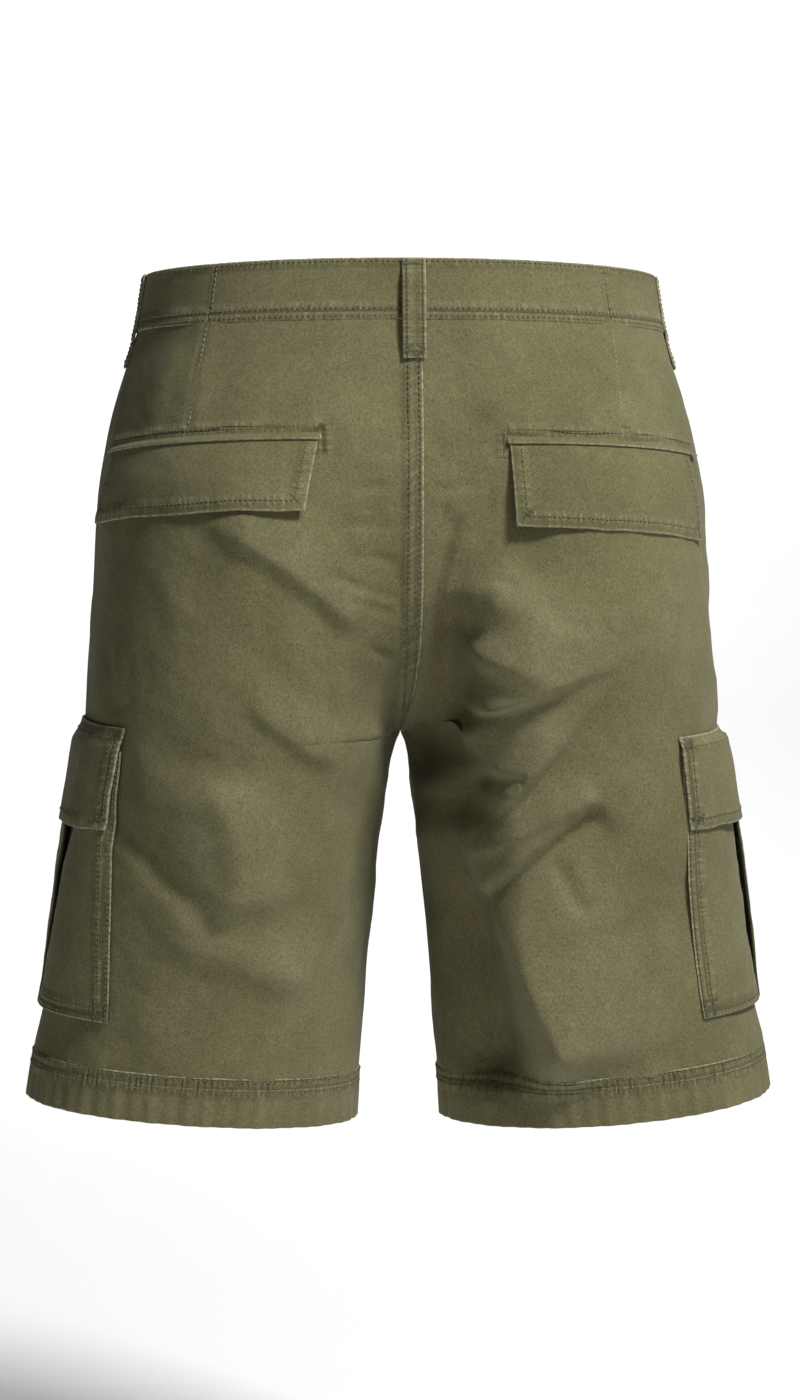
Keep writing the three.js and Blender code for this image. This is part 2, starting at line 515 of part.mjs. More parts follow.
// Across the pockets, as distances from the side seam (negative towards the back) at these levels.
// gap is half the pleat's opening, puff how far the rear part stands up and lip the front fold.
const CARGO_LEVELS = [-280, -304, -328, -356, -392, -414, -436];
const CARGO = [
  {
    word: "left", side: 1,
    rear: [-83, -81, -79, -80, -81, -82.5, -84],
    pleat: [-40, -33.5, -27, -16, -10, -8, -6],
    front: [78, 78.5, 79, 79, 79, 79.5, 80],
    gap: [4, 5.5, 7, 3.5, 1.2, 0.9, 0.6],
    puff: [1.5, 2.8, 4, 5, 4, 2.2, 0.4],
    lip: [0.6, 1.3, 2, 2.4, 1.8, 1.1, 0.3],
    flapRear: [-85.5, -74.5], flapTop: [-266.5, -264, -266],
  },
  {
    word: "right", side: -1,
    rear: [-96, -94, -92, -91.5, -88.5, -86.5, -84.5],
    pleat: [-30, -27, -24, -21, -18, -15.5, -13],
    front: [66, 67, 68, 70, 72, 73, 74],
    gap: [3, 3, 3, 2.4, 1.8, 1.2, 0.6],
    puff: [1.2, 1.9, 2.6, 3.2, 3, 1.7, 0.4],
    lip: [0.6, 1.5, 2.4, 2.6, 2.4, 1.4, 0.4],
    flapRear: [-98.5, -91.5], flapTop: [-272.5, -270, -269],
  },
];

// A column of a pocket's table at level z.
function cargo(pocket, name, z) {
  const last = CARGO_LEVELS.length - 2;
  const i = Math.max(0, Math.min(last, CARGO_LEVELS.findIndex((level) => level < z) - 1));
  const k = z <= CARGO_LEVELS[last + 1] ? last : i;
  const t = (z - CARGO_LEVELS[k]) / (CARGO_LEVELS[k + 1] - CARGO_LEVELS[k]);
  return mix(pocket[name][k], pocket[name][k + 1], Math.min(1, Math.max(0, t)));
}

// Height of the pocket's top layer at a share from its sewn edge to the pleat.
const topHeight = (q, puff) =>
  mix(POCKET.edge, UPPER, 0.9 * smooth(1.15 * q) + 0.1 * q) + puff * Math.sin(Math.PI * q ** 0.87);

// The top layer's height at a place across and a level, as if the pleat were shut.
function pocketTop(pocket, a, z) {
  const [rear, pleat, front, puff, lip] = ["rear", "pleat", "front", "puff", "lip"].map((n) => cargo(pocket, n, z));
  const behind = a < pleat;
  const q = Math.min(1, Math.max(0, behind ? (a - rear) / (pleat - rear) : (front - a) / (front - pleat)));
  return topHeight(q, behind ? puff : 0.4 * puff) + lip * smooth(q);
}

// Half the sheet's line from a pocket's edge to the middle of the pleat: place across from the edge
// (0) to the pleat (1), a shift in millimetres towards the edge, and height.
function pleatLine(gap, puff, lip) {
  const { under: low, between, tuck } = POCKET;
  const r = between / 2;
  const middle = low + between;
  const up = [0, 0.2, 0.45, 0.7, 0.86].map((q) => ({ across: q, shift: 0, height: topHeight(q, puff) + lip * smooth(q) }));
  return [
    ...up,
    { across: 1, shift: gap + r, height: UPPER + lip },
    { across: 1, shift: gap + 0.3 * r, height: UPPER + lip - 0.3 * r },
    { across: 1, shift: gap, height: UPPER + lip - r },
    { across: 1, shift: gap + 0.3 * r, height: middle + lip + 0.3 * r },
    { across: 1, shift: gap + r, height: middle + lip },
    { across: 1, shift: gap + tuck, height: middle },
    { across: 1, shift: gap + tuck + 0.7 * r, height: middle - 0.3 * r },
    { across: 1, shift: gap + tuck + r, height: middle - r },
    { across: 1, shift: gap + tuck + 0.7 * r, height: low + 0.3 * r },
    { across: 1, shift: gap + tuck, height: low },
    { across: 1, shift: (gap + tuck) / 3, height: low },
  ];
}
function pocketLine(pocket, z) {
  const [rear, pleat, front, gap, puff, lip] = ["rear", "pleat", "front", "gap", "puff", "lip"].map((n) => cargo(pocket, n, z));
  const half = (edge, way, line) =>
    line.map(({ across, shift, height }) => {
      const inside = across < 1 ? way * (gap + POCKET.between / 2) : 0;
      return [mix(edge, pleat + inside, across) + way * shift, height];
    });
  const [rearHalf, frontHalf] = [half(rear, -1, pleatLine(gap, puff, 0)), half(front, 1, pleatLine(gap, 0.4 * puff, lip))];
  return [...rearHalf, ...frontHalf.toReversed()];
}
// The line's points moved sideways by a distance, square to it.
function beside2d(line, away) {
  return line.map(([x, y], i) => {
    const [a, b] = [line[Math.max(0, i - 1)], line[Math.min(line.length - 1, i + 1)]];
    const [dx, dy] = [b[0] - a[0], b[1] - a[1]];
    const length = Math.hypot(dx, dy);
    return [x - (dy / length) * away, y + (dx / length) * away];
  });
}
for (const pocket of CARGO) {
  const lines = CARGO_LEVELS.map((z) => [1, -1].map((way) => beside2d(pocketLine(pocket, z), (way * POCKET.sheet) / 2)));
  const layer = (k) => (i, j) => beside(pocket.side, lines[j][k][i][0], CARGO_LEVELS[j], lines[j][k][i][1]);
  add(`cargo_pocket_${pocket.word}`, wall(lines[0][0].length, CARGO_LEVELS.length, layer(0), layer(1)));

  // The flap lies over the pocket and comes down to the leg above it.
  const flapRows = [0, POCKET.top + 1, -292, -304, -315, FLAP.low];
  const flapColumns = 13;
  const flapPlace = (i, j) => {
    const [u, v] = [i / (flapColumns - 1), j / (flapRows.length - 1)];
    const [rearTop, middleTop, frontTop] = pocket.flapTop;
    const top = u < 0.5 ? mix(rearTop, middleTop, 2 * u) : mix(middleTop, frontTop, 2 * u - 1);
    const z = j === 0 ? top : flapRows[j];
    const body = Math.min(z, POCKET.top);
    const a = mix(mix(...pocket.flapRear, v), cargo(pocket, "front", body) + FLAP.over, u);
    return [a, z, j === 0 ? FLAP.topOff : pocketTop(pocket, a, body) + POCKET.sheet / 2 + FLAP.off];
  };
  const flapLayer = (above) => (i, j) => {
    const [a, z, height] = flapPlace(i, j);
    return beside(pocket.side, a, z, height + above);
  };
  add(`cargo_flap_${pocket.word}`, wall(flapColumns, flapRows.length, flapLayer(FLAP.thick), flapLayer(0)));
}

// The shield behind the fly opening, held by the right front panel.
const SHIELD = { left: 18, right: 24, top: -38, low: -186, behind: 0.4, thick: 1.4 };
function flyShield() {
  const layer = (height) => (i, j) => {
    const v = j / 7;
    const d = mix(-SHIELD.right, SHIELD.left * (1 - 0.5 * v * v), i / 4);
    return lifted(1, "front", d, mix(SHIELD.top, SHIELD.low, v), height);
  };
  return wall(5, 8, layer(-TWILL - SHIELD.behind), layer(-TWILL - SHIELD.behind - SHIELD.thick));
}
add("fly_shield", flyShield());

export default garment;
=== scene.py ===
"""Cargo shorts of washed olive twill, filled out as if worn, with no wearer, seen from behind.

Every cloth piece is a surface worked out with numpy from the garment's own sizes: a place on the
cloth is given by a side, a half (back or front), a distance from the seat or fly seam and a level.
Sizes in the tables are millimetres in the part's frame; meshes are metres.
"""

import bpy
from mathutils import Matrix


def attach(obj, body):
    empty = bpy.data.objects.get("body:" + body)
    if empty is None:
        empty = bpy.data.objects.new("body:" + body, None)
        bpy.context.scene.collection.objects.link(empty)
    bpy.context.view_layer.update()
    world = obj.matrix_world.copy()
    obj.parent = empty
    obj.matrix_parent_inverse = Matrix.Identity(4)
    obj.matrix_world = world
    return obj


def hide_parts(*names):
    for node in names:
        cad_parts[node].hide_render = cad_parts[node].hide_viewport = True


bl_info = {
    "name": "Cargo Shorts",
    "version": (1, 0, 0),
    "blender": (4, 5, 0),
    "location": "View3D > Sidebar > Shorts",
    "description": "Builds washed twill cargo shorts as worn, with pockets, seams and stitching",
    "category": "Add Mesh",
}

import bpy
import numpy as np
from bpy.props import FloatProperty, FloatVectorProperty, PointerProperty
from bpy.types import Operator, Panel, PropertyGroup
from mathutils import Matrix, Vector

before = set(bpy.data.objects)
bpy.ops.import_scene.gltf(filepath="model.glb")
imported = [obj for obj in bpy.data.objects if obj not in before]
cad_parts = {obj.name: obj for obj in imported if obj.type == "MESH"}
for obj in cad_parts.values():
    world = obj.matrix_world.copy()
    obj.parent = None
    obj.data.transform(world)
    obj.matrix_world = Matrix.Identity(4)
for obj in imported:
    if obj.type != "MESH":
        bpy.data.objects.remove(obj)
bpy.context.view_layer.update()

# Which half of the garment, and which side of the wearer
BACK, FRONT = 1, -1
LEFT, RIGHT = 1, -1
SIDES = (("left", LEFT), ("right", RIGHT))

# Cloth and seams
GAP = 0.3
BAND_DEPTH = 35
BAND_PROUD = 0.8
HEM_DEPTH = 28
LAP = 5
CROTCH_Z = -274
CROTCH_Y = 4
RISE_RADIUS = {BACK: 90, FRONT: 80}

# The garment's size at levels down the side seam: the part's own, but with a deeper cleft in the seat
# and a softer parting of the legs. outer and inner are measured from the middle plane, back, front and
# side from the X axis; the peaks are how far out the cloth is deepest, cleft how much shallower it is
# on the seat seam. sag, drop and lift lower the sides, the centre front and the inseams.
LEVELS = {
    "z": (0, -35, -76, -100, -136, -196, -236, -274, -280, -292, -316, -352, -388, -424, -460, -490.5),
    "outer": (
        150.5, 156.5, 169, 174.5, 180, 183.5, 186.5, 188.5, 189.2, 190.8, 194, 199, 204.5, 211, 219, 224,
    ),
    "inner": (0, 0, 0, 0, 0, 0, 0, 0, 2.4, 5, 8, 12, 16, 19, 22, 24),
    "back": (108, 112, 118, 122, 126, 127, 122, 114, 113, 110, 105, 98, 91, 85, 80, 76),
    "front": (-104, -107, -110, -111, -112, -111, -109, -106, -105, -104, -101, -96, -90, -85, -81, -78),
    "side": (2, 2, 3, 4, 5, 6, 6, 5, 5, 5, 4, 3, 2, 1, 0, 0),
    "back_peak": (14, 22, 42, 56, 72, 84, 92, 97, 98, 100, 103, 107, 111, 115, 119, 123),
    "front_peak": (16, 18, 24, 30, 42, 66, 84, 95, 96, 98, 102, 106, 110, 114, 119, 123),
    "cleft": (0, 0, 1, 2, 4, 11, 16, 16, 0, 0, 0, 0, 0, 0, 0, 0),
    "sag": (3.5, 2.6, 1.4, 0.8, 0, 0, 0, 0, 0, 0, 0, 0, 0, 0, 0, 0),
    "drop": (14, 12, 9, 7, 4, 0, 0, 0, 0, 0, 0, 0, 0, 0, 0, 0),
    "lift": (0, 0, 0, 0, 0, 0, 0, 0, 0.4, 1, 3, 6, 9, 12, 12.5, 15),
}
LEVELS = {name: np.array(values, float) for name, values in LEVELS.items()}
HEM_Z = LEVELS["z"][-1]
LEFT_INSEAM_OUT = 3
HANG = {"from": -375, LEFT: 0.6, RIGHT: 3}
QUARTER, SIDE_ROUND, FLAT_HANDLE = 0.55, 0.6, 0.36
CORNER, CORNER_FADE = 0.22, 100
SAMPLES = 40


def clamp01(x):
    return np.clip(x, 0.0, 1.0)


def smooth(x):
    """A soft step: 3x^2 - 2x^3 between 0 and 1."""
    t = clamp01(x)
    return t * t * (3 - 2 * t)


def mix(a, b, t):
    return a + (b - a) * t


def unit(v):
    return v / np.maximum(np.linalg.norm(v, axis=-1, keepdims=True), 1e-9)


def column(name, z):
    """A column of LEVELS at z: cubics through its rows, each row's slope that of its neighbours' chord."""
    levels, values = LEVELS["z"], LEVELS[name]
    i = np.clip(np.searchsorted(-levels[1:], -z, side="left"), 0, len(levels) - 2)
    row = np.arange(len(levels))
    before, after = np.maximum(row - 1, 0), np.minimum(row + 1, len(levels) - 1)
    slopes = (values[after] - values[before]) / (levels[after] - levels[before])
    span = levels[i + 1] - levels[i]
    t = (z - levels[i]) / span
    inside = (
        (2 * t**3 - 3 * t**2 + 1) * values[i]
        + (t**3 - 2 * t**2 + t) * span * slopes[i]
        + (3 * t**2 - 2 * t**3) * values[i + 1]
        + (t**3 - t**2) * span * slopes[i + 1]
    )
    above = values[i] + slopes[i] * (z - levels[i])
    below = values[i + 1] + slopes[i + 1] * (z - levels[i + 1])
    return np.where(t < 0, above, np.where(t > 1, below, inside))


def running(steps, axis):
    """The length run at each place of a line, from 0, by the steps between its places."""
    total = np.cumsum(steps, axis)
    return np.concatenate([np.zeros_like(total.take([0], axis)), total], axis)


def bezier(points, t):
    """Cubic curves: points (..., 4, 2) at t (...)."""
    u = 1 - t
    weights = np.stack([u**3, 3 * u * u * t, 3 * u * t * t, t**3], -1)
    return (weights[..., None] * points).sum(-2)


def rings(z):
    """The garment's plan at levels z: for back and front, two cubics from the middle to the side
    seam, the running length at their samples, and where the line has turned to run sideways."""
    size = {name: column(name, z) for name in LEVELS if name != "z"}
    above = z > CROTCH_Z
    size["inner"] = np.where(above, 0.0, size["inner"])
    controls, lengths, bends = [], [], []
    for half, name in ((BACK, "back"), (FRONT, "front")):
        h = clamp01((z - CROTCH_Z) / RISE_RADIUS[half])
        eased = h * h / (h + 0.1) * 1.1
        depth = np.sqrt(1 - (1 - eased) ** 2)
        saddle = 0.2 * np.where(above, 1.0, smooth(1 - (CROTCH_Z - z) / 32))
        turn = np.arctan2(1.15 * (1 - h), np.hypot(depth, saddle))
        peak_x, peak_y = size[name + "_peak"], size[name]
        seam_y = CROTCH_Y + (peak_y - half * size["cleft"] - CROTCH_Y) * depth
        grip = np.sin(turn) ** 8 * np.where(above, 1.0, smooth(1 - (CROTCH_Z - z) / CORNER_FADE))
        dx, dy = peak_x - size["inner"], np.abs(peak_y - seam_y)
        share = FLAT_HANDLE + (QUARTER - FLAT_HANDLE) * np.sin(turn)
        reach = (share + CORNER * grip) * (dx * np.cos(turn) + dy * np.sin(turn))
        outer, side = size["outer"], size["side"]
        first = [
            (size["inner"], seam_y),
            (size["inner"] + reach * np.cos(turn), seam_y + half * reach * np.sin(turn)),
            (peak_x - share * dx, peak_y),
            (peak_x, peak_y),
        ]
        second = [
            (peak_x, peak_y),
            (peak_x + SIDE_ROUND * (outer - peak_x), peak_y),
            (outer, side + SIDE_ROUND * (peak_y - side)),
            (outer, side),
        ]
        control = np.array([[np.stack(p, -1) for p in part] for part in (first, second)])
        control = np.moveaxis(control, 2, 0)
        t = np.linspace(0, 1, SAMPLES + 1)
        line = bezier(control[:, :, None], t[None, None])
        line = np.concatenate([line[:, 0], line[:, 1, 1:]], 1)
        steps = np.diff(line, axis=1)
        run = running(np.hypot(steps[..., 0], steps[..., 1]), 1)
        steep = np.abs(steps[..., 1]) - steps[..., 0]
        k = np.argmax(steep <= 0, 1)
        row = np.arange(len(z))
        before = steep[row, np.maximum(k - 1, 0)]
        part = 0.5 + before / np.where(k > 0, before - steep[row, k], 1)
        bends.append(np.where(k > 0, mix(run[row, np.maximum(k - 1, 0)], run[row, k], part), 0.0))
        controls.append(control)
        lengths.append(run)
    return size, np.array(controls), np.array(lengths), np.array(bends)


def length_of(half, z):
    """How far it is round the back or front, from the middle to the side seam, at level z."""
    half, z = np.broadcast_arrays(half, np.asarray(z, float))
    levels, at = np.unique(z, return_inverse=True)
    lengths = rings(levels)[2][..., -1]
    return lengths[(half < 0).astype(int), at.reshape(z.shape)]


def bare(side, half, d, z):
    """The cloth without its folds, at distance d from the middle of the back or front and level z.
    A negative distance lies across the middle, or across the inseam in a leg."""
    side, half, d, z = np.broadcast_arrays(*(np.asarray(a, float) for a in (side, half, d, z)))
    shape = d.shape
    side, half, d, z = side.ravel(), half.ravel(), d.ravel(), z.ravel()
    low = z <= CROTCH_Z
    half = np.where((d < 0) & low, -half, half)
    mirrored = np.where((d < 0) & ~low, -1.0, 1.0)
    away = np.abs(d)
    levels, at = np.unique(z, return_inverse=True)
    size, controls, lengths, _ = rings(levels)
    size = {name: values[at] for name, values in size.items()}
    which = (half < 0).astype(int)
    run = lengths[which, at]
    n = np.arange(len(d))
    i = np.clip((run < away[:, None]).sum(1), 1, 2 * SAMPLES)
    t = (i - 1 + (away - run[n, i - 1]) / (run[n, i] - run[n, i - 1])) / SAMPLES
    second = (t > 1).astype(int)
    xy = bezier(controls[which, at, second], t - second)
    x, y = xy[:, 0], xy[:, 1]
    frontness = smooth((size["side"] - y) / (size["side"] - size["front"]))
    middleness = (size["outer"] - x) / (size["outer"] - size["inner"])
    hang = 4 * np.where(side > 0, HANG[LEFT], HANG[RIGHT]) * middleness * (1 - middleness) * smooth(y / 40)
    hang = hang * smooth((HANG["from"] - z) / 110)
    sag = size["sag"] * (1 - middleness) ** 2 * (1 - frontness)
    lower = size["lift"] * middleness + sag + size["drop"] * frontness + hang
    apart = np.where(side > 0, LEFT_INSEAM_OUT * middleness * smooth((CROTCH_Z - z) / 40), 0.0)
    return np.stack([side * (x + apart) * mirrored, y, z - lower], -1).reshape(shape + (3,))


# Folds, each along a line on the back or front seen square on, in x and z. left and right are how far
# it reaches towards the wearer's left and right, height is negative for a trough, sharp is near 0 for
# a crisp line and 1 for a soft one, start and end are the lengths over which it rises and fades, bow
# is how far its middle is bent to the wearer's left.
FOLD_NAMES = ("x1", "z1", "x2", "z2", "left", "right", "height", "sharp", "start", "end", "bow")
FOLDS = {
    BACK: (
        # Left seat and thigh
        (114, -148, 33, -207, 12, 42, 5.6, 0.2, 34, 16, -3),
        (44, -168, 8, -173, 5, 6, -1.3, 0.35, 16, 5, 2),
        (50, -177, 8, -192, 5, 6, -1.5, 0.35, 18, 5, 2),
        (38, -192, 10, -202, 5, 5, -1.3, 0.35, 12, 5, 0),
        (27, -220, 9, -228, 5, 5, -1.2, 0.35, 10, 5, 0),
        (94, -248, 48, -284, 9, 24, 2.6, 0.2, 14, 14, 3),
        (54, -283, 12, -279, 16, 20, 1.2, 0.7, 14, 10, 2),
        (119, -292, 109, -378, 48, 58, 11.0, 0.05, 30, 24, -13),
        (172, -316, 112, -380, 13, 14, -3.4, 0.5, 34, 14, 0),
        (146, -380, 54, -412, 20, 34, 3.8, 0.3, 34, 14, 4),
        (173, -222, 170, -260, 5, 5, -1.3, 0.4, 14, 6, 0),
        (160, -226, 163, -258, 4, 5, -1.0, 0.4, 12, 6, 0),
        # Right seat and thigh
        (-24, -146, -8, -194, 8, 8, -3.0, 0.4, 12, 12, 1),
        (-18, -138, -6, -166, 4, 4, -1.4, 0.4, 6, 8, 0),
        (-54, -178, -33, -226, 26, 90, 13.0, 0.1, 30, 16, 0),
        (-58, -186, -46, -181, 6, 6, -1.8, 0.4, 8, 5, 0),
        (-34, -216, -48, -256, 30, 90, 14.5, 0.08, 24, 8, -2),
        (-48, -254, -16, -264, 7, 9, -4.0, 0.2, 6, 12, 0),
        (-22, -262, -68, -298, 30, 80, 14.5, 0.08, 24, 8, 0),
        (-68, -292, -32, -299, 7, 9, -4.2, 0.2, 6, 14, 0),
        (-12, -196, -18, -300, 24, 56, -15.0, 0.7, 30, 30, 0),
        (-24, -300, -48, -482, 22, 36, -20.0, 0.6, 34, 30, 0),
        (-22, -314, -98, -474, 36, 84, 22.0, 0.03, 30, 34, -4),
        (-42, -370, -107, -312, 6, 32, -8.0, 0.06, 30, 14, 1),
        (-36, -340, -104, -305, 17, 8, 3.2, 0.2, 20, 5, 1),
        (-83, -341, -99, -373, 6, 10, -2.6, 0.3, 12, 6, 1),
        (-72, -196, -98, -210, 7, 9, -1.6, 0.4, 10, 8, 2),
        (-104, -392, -150, -372, 12, 14, -1.8, 0.6, 20, 20, 0),
        # Small creases beside the seat seam
        (36, -130, 8, -128, 5, 5, -1.0, 0.4, 10, 5, 0),
        (34, -118, 8, -114, 5, 5, 0.9, 0.5, 10, 5, 0),
        (40, -152, 8, -150, 5, 5, -1.0, 0.4, 10, 5, 0),
        (-34, -128, -8, -132, 5, 5, -1.0, 0.4, 10, 5, 0),
    ),
    FRONT: (
        (12, -262, 82, -206, 13, 15, -4.4, 0.4, 8, 24, -3),
        (10, -246, 58, -196, 9, 9, 2.8, 0.4, 8, 20, -2),
        (-10, -260, -88, -212, 14, 15, -4.6, 0.4, 8, 26, 3),
        (-10, -240, -62, -186, 9, 10, 2.6, 0.5, 8, 20, 2),
        (22, -290, 100, -378, 30, 26, 5.4, 0.15, 14, 26, -4),
        (-22, -288, -108, -356, 24, 30, 5.6, 0.15, 14, 26, 5),
        (16, -322, 70, -400, 14, 12, -3.0, 0.4, 12, 22, 0),
        (-18, -330, -80, -420, 14, 12, -3.2, 0.4, 12, 22, 0),
        (132, -316, 114, -446, 16, 22, -3.4, 0.5, 30, 24, 2),
        (-128, -330, -110, -450, 22, 16, -3.2, 0.5, 30, 24, -2),
        (126, -70, 96, -150, 16, 14, -2.4, 0.6, 20, 30, 3),
        (-124, -74, -94, -158, 16, 14, -2.4, 0.6, 20, 30, -3),
    ),
}
FOLDS = {half: [dict(zip(FOLD_NAMES, row)) for row in rows] for half, rows in FOLDS.items()}


def fold_height(half, x, z):
    """The folds' heights added up. Across a fold the height falls as p^1.5, where p is 1 on its line
    and 0 at its reach, by a hyperbola that is rounder the larger sharp is."""
    total = np.zeros(np.shape(x))
    for part in (BACK, FRONT):
        for f in FOLDS[part]:
            dx, dz = f["x2"] - f["x1"], f["z2"] - f["z1"]
            length = np.hypot(dx, dz)
            along = ((x - f["x1"]) * dx + (z - f["z1"]) * dz) / length
            left = np.array([dz, -dx]) / length
            left = left if left[0] + 0.3 * left[1] > 0 else -left
            share = clamp01(along / length)
            off = (x - f["x1"]) * left[0] + (z - f["z1"]) * left[1] - 4 * f["bow"] * share * (1 - share)
            q = off / np.where(off > 0, f["left"], f["right"])
            s = f["sharp"]
            p = clamp01(1 - (np.sqrt(q * q + s * s) - s) / (np.sqrt(1 + s * s) - s))
            ends = smooth(along / f["start"] + 0.35) * smooth((length - along) / f["end"] + 0.35)
            total = total + np.where(half == part, f["height"] * p**1.5 * ends, 0.0)
    return total


def crumple(u, v, seed, waves=22, near=16.0, far=60.0):
    """Soft uneven cloth: sines in random directions, their wavelengths spread from near to far."""
    rng = np.random.default_rng(seed)
    total = np.zeros(np.broadcast(u, v).shape)
    for _ in range(waves):
        wavelength = near * (far / near) ** rng.random()
        angle, phase = rng.random(2) * 2 * np.pi
        k = 2 * np.pi / wavelength
        total = total + wavelength / far * np.sin(k * (u * np.cos(angle) + v * np.sin(angle)) + phase)
    return total / np.sqrt(waves)


def cloth(side, half, d, z):
    """Places on the folded cloth, the way out of it there, and the folds' height."""
    side, half, d, z = np.broadcast_arrays(*(np.asarray(a, float) for a in (side, half, d, z)))
    e = 0.6
    near = np.abs(z - CROTCH_Z) <= e
    low = np.where(near & (z > CROTCH_Z), 0.0, e)
    high = np.where(near & (z <= CROTCH_Z), 0.0, e)
    length = length_of(half, z)
    free = smooth((length - np.abs(d)) / 60) * smooth(np.abs(d) / 22)

    def height(p):
        return fold_height(half, p[..., 0], p[..., 2]) * free

    middle = bare(side, half, d, z)
    ahead, behind = bare(side, half, d + e, z), bare(side, half, d - e, z)
    under, over = bare(side, half, d, z - low), bare(side, half, d, z + high)
    along, down = ahead - behind, under - over
    out = unit(np.cross(along, down)) * (half * side)[..., None]
    tilt = (height(ahead) - height(behind))[..., None] * along / (along**2).sum(-1, keepdims=True)
    tilt = tilt + (height(under) - height(over))[..., None] * down / (down**2).sum(-1, keepdims=True)
    rise = height(middle)
    return middle + out * rise[..., None], unit(out - tilt), rise


def beside(a, z):
    """Half and distance for a distance a from the side seam, negative towards the back."""
    half = np.where(a < 0, BACK, FRONT)
    return half, length_of(half, z) - np.abs(a)


BACK_RUN = float(length_of(BACK, np.array([0.0]))[0])
FRONT_RUN = float(length_of(FRONT, np.array([0.0]))[0])
HALF_RUN = BACK_RUN + FRONT_RUN


def round_band(distance, z):
    """Half and distance for a distance round the waistband from the centre back, along its top edge."""
    half = np.where(distance <= BACK_RUN, BACK, FRONT)
    length = length_of(half, z)
    on_back, on_front = distance * length / BACK_RUN, (HALF_RUN - distance) * length / FRONT_RUN
    return half, np.where(half > 0, on_back, on_front)


def stops(*spans):
    """Grid lines from spans (start, end, count), each leaving out its end but the last."""
    parts = [np.linspace(a, b, n, endpoint=False) for a, b, n in spans]
    return np.concatenate(parts + [[spans[-1][1]]])


EDGE = np.array([0, 0.04, 0.16, 0.4, 0.7])


def edged(length, step, radius=0.9, both=(True, True)):
    """Grid lines over a length, close together at the ends that are rounded edges."""
    near = EDGE * radius if both[0] else np.array([0.0])
    far = length - (EDGE * radius)[::-1] if both[1] else np.array([length])
    start, end = near[-1] + radius * 0.4, far[0] - radius * 0.4
    count = max(2, int(round((end - start) / step)))
    return np.concatenate([near, np.linspace(start, end, count), far])


def rounded(edge, radius):
    """The share of a wall's thickness left near its edge: a quarter circle over the radius."""
    return np.sqrt(np.maximum(1 - (1 - clamp01(edge / radius)) ** 2, 0.02))


# Meshes


def mesh_object(name, points, quads, uvs, values, smooth_angle=50):
    """An object from points in millimetres and four-sided faces, turned to face outwards."""
    corners = points[quads]
    a, b, c, d = (corners[:, k] for k in range(4))
    volume = (np.einsum("ij,ij->i", a, np.cross(b, c)) + np.einsum("ij,ij->i", a, np.cross(c, d))).sum()
    if volume < 0:
        quads, uvs = quads[:, ::-1], uvs[:, ::-1]
    mesh = bpy.data.meshes.new(name)
    mesh.vertices.add(len(points))
    mesh.vertices.foreach_set("co", (points * 0.001).astype(np.float32).ravel())
    mesh.loops.add(quads.size)
    mesh.loops.foreach_set("vertex_index", quads.astype(np.int32).ravel())
    mesh.polygons.add(len(quads))
    mesh.polygons.foreach_set("loop_start", np.arange(0, quads.size, 4, dtype=np.int32))
    mesh.polygons.foreach_set("use_smooth", np.ones(len(quads), bool))
    layer = mesh.uv_layers.new(name="UVMap")
    layer.uv.foreach_set("vector", (uvs * 0.01).astype(np.float32).ravel())
    for key, numbers in values.items():
        data = mesh.attributes.new(key, "FLOAT", "POINT").data
        data.foreach_set("value", numbers.astype(np.float32).ravel())
    mesh.update(calc_edges=True)
    mesh.validate()
    mesh.set_sharp_from_angle(angle=np.radians(smooth_angle))
    obj = bpy.data.objects.new(name, mesh)
    bpy.context.collection.objects.link(obj)
    return obj


def wall(name, face, lining, u, v, values, ring=False):
    """A closed wall between two grids of points (columns, rows, 3), joined round their rims. u and v
    are the cloth's own measures at the grid places; a ring's u has one column more than its points."""
    columns, rows = face.shape[:2]
    points = np.concatenate([face.reshape(-1, 3), lining.reshape(-1, 3)])
    last = columns if ring else columns - 1
    i, j = np.meshgrid(np.arange(last), np.arange(rows - 1), indexing="ij")
    i, j = i.ravel(), j.ravel()
    cells = [(i, j), (i, j + 1), (i + 1, j + 1), (i + 1, j)]

    def at(layer, column, row):
        return layer * columns * rows + (column % columns) * rows + row

    def uv(column, row):
        return np.stack([u[column, row], v[column, row]], -1)

    turned = cells[::-1]
    quads = [np.stack([at(0, a, b) for a, b in cells], -1), np.stack([at(1, a, b) for a, b in turned], -1)]
    maps = [np.stack([uv(a, b) for a, b in cells], 1), np.stack([uv(a, b) for a, b in turned], 1)]
    i = np.arange(last)
    for row, flip in ((0, 1), (rows - 1, -1)):
        k = np.full_like(i, row)
        quads.append(np.stack([at(0, i, k), at(0, i + 1, k), at(1, i + 1, k), at(1, i, k)][::flip], -1))
        maps.append(np.stack([uv(i, k), uv(i + 1, k), uv(i + 1, k), uv(i, k)][::flip], 1))
    j = np.arange(rows - 1)
    for col, flip in () if ring else ((0, -1), (columns - 1, 1)):
        k = np.full_like(j, col)
        quads.append(np.stack([at(0, k, j), at(0, k, j + 1), at(1, k, j + 1), at(1, k, j)][::flip], -1))
        maps.append(np.stack([uv(k, j), uv(k, j + 1), uv(k, j + 1), uv(k, j)][::flip], 1))
    both = {key: np.concatenate([numbers.ravel(), numbers.ravel()]) for key, numbers in values.items()}
    return mesh_object(name, points, np.concatenate(quads), np.concatenate(maps), both)


FAR = 99.0  # a distance past which no finish reaches


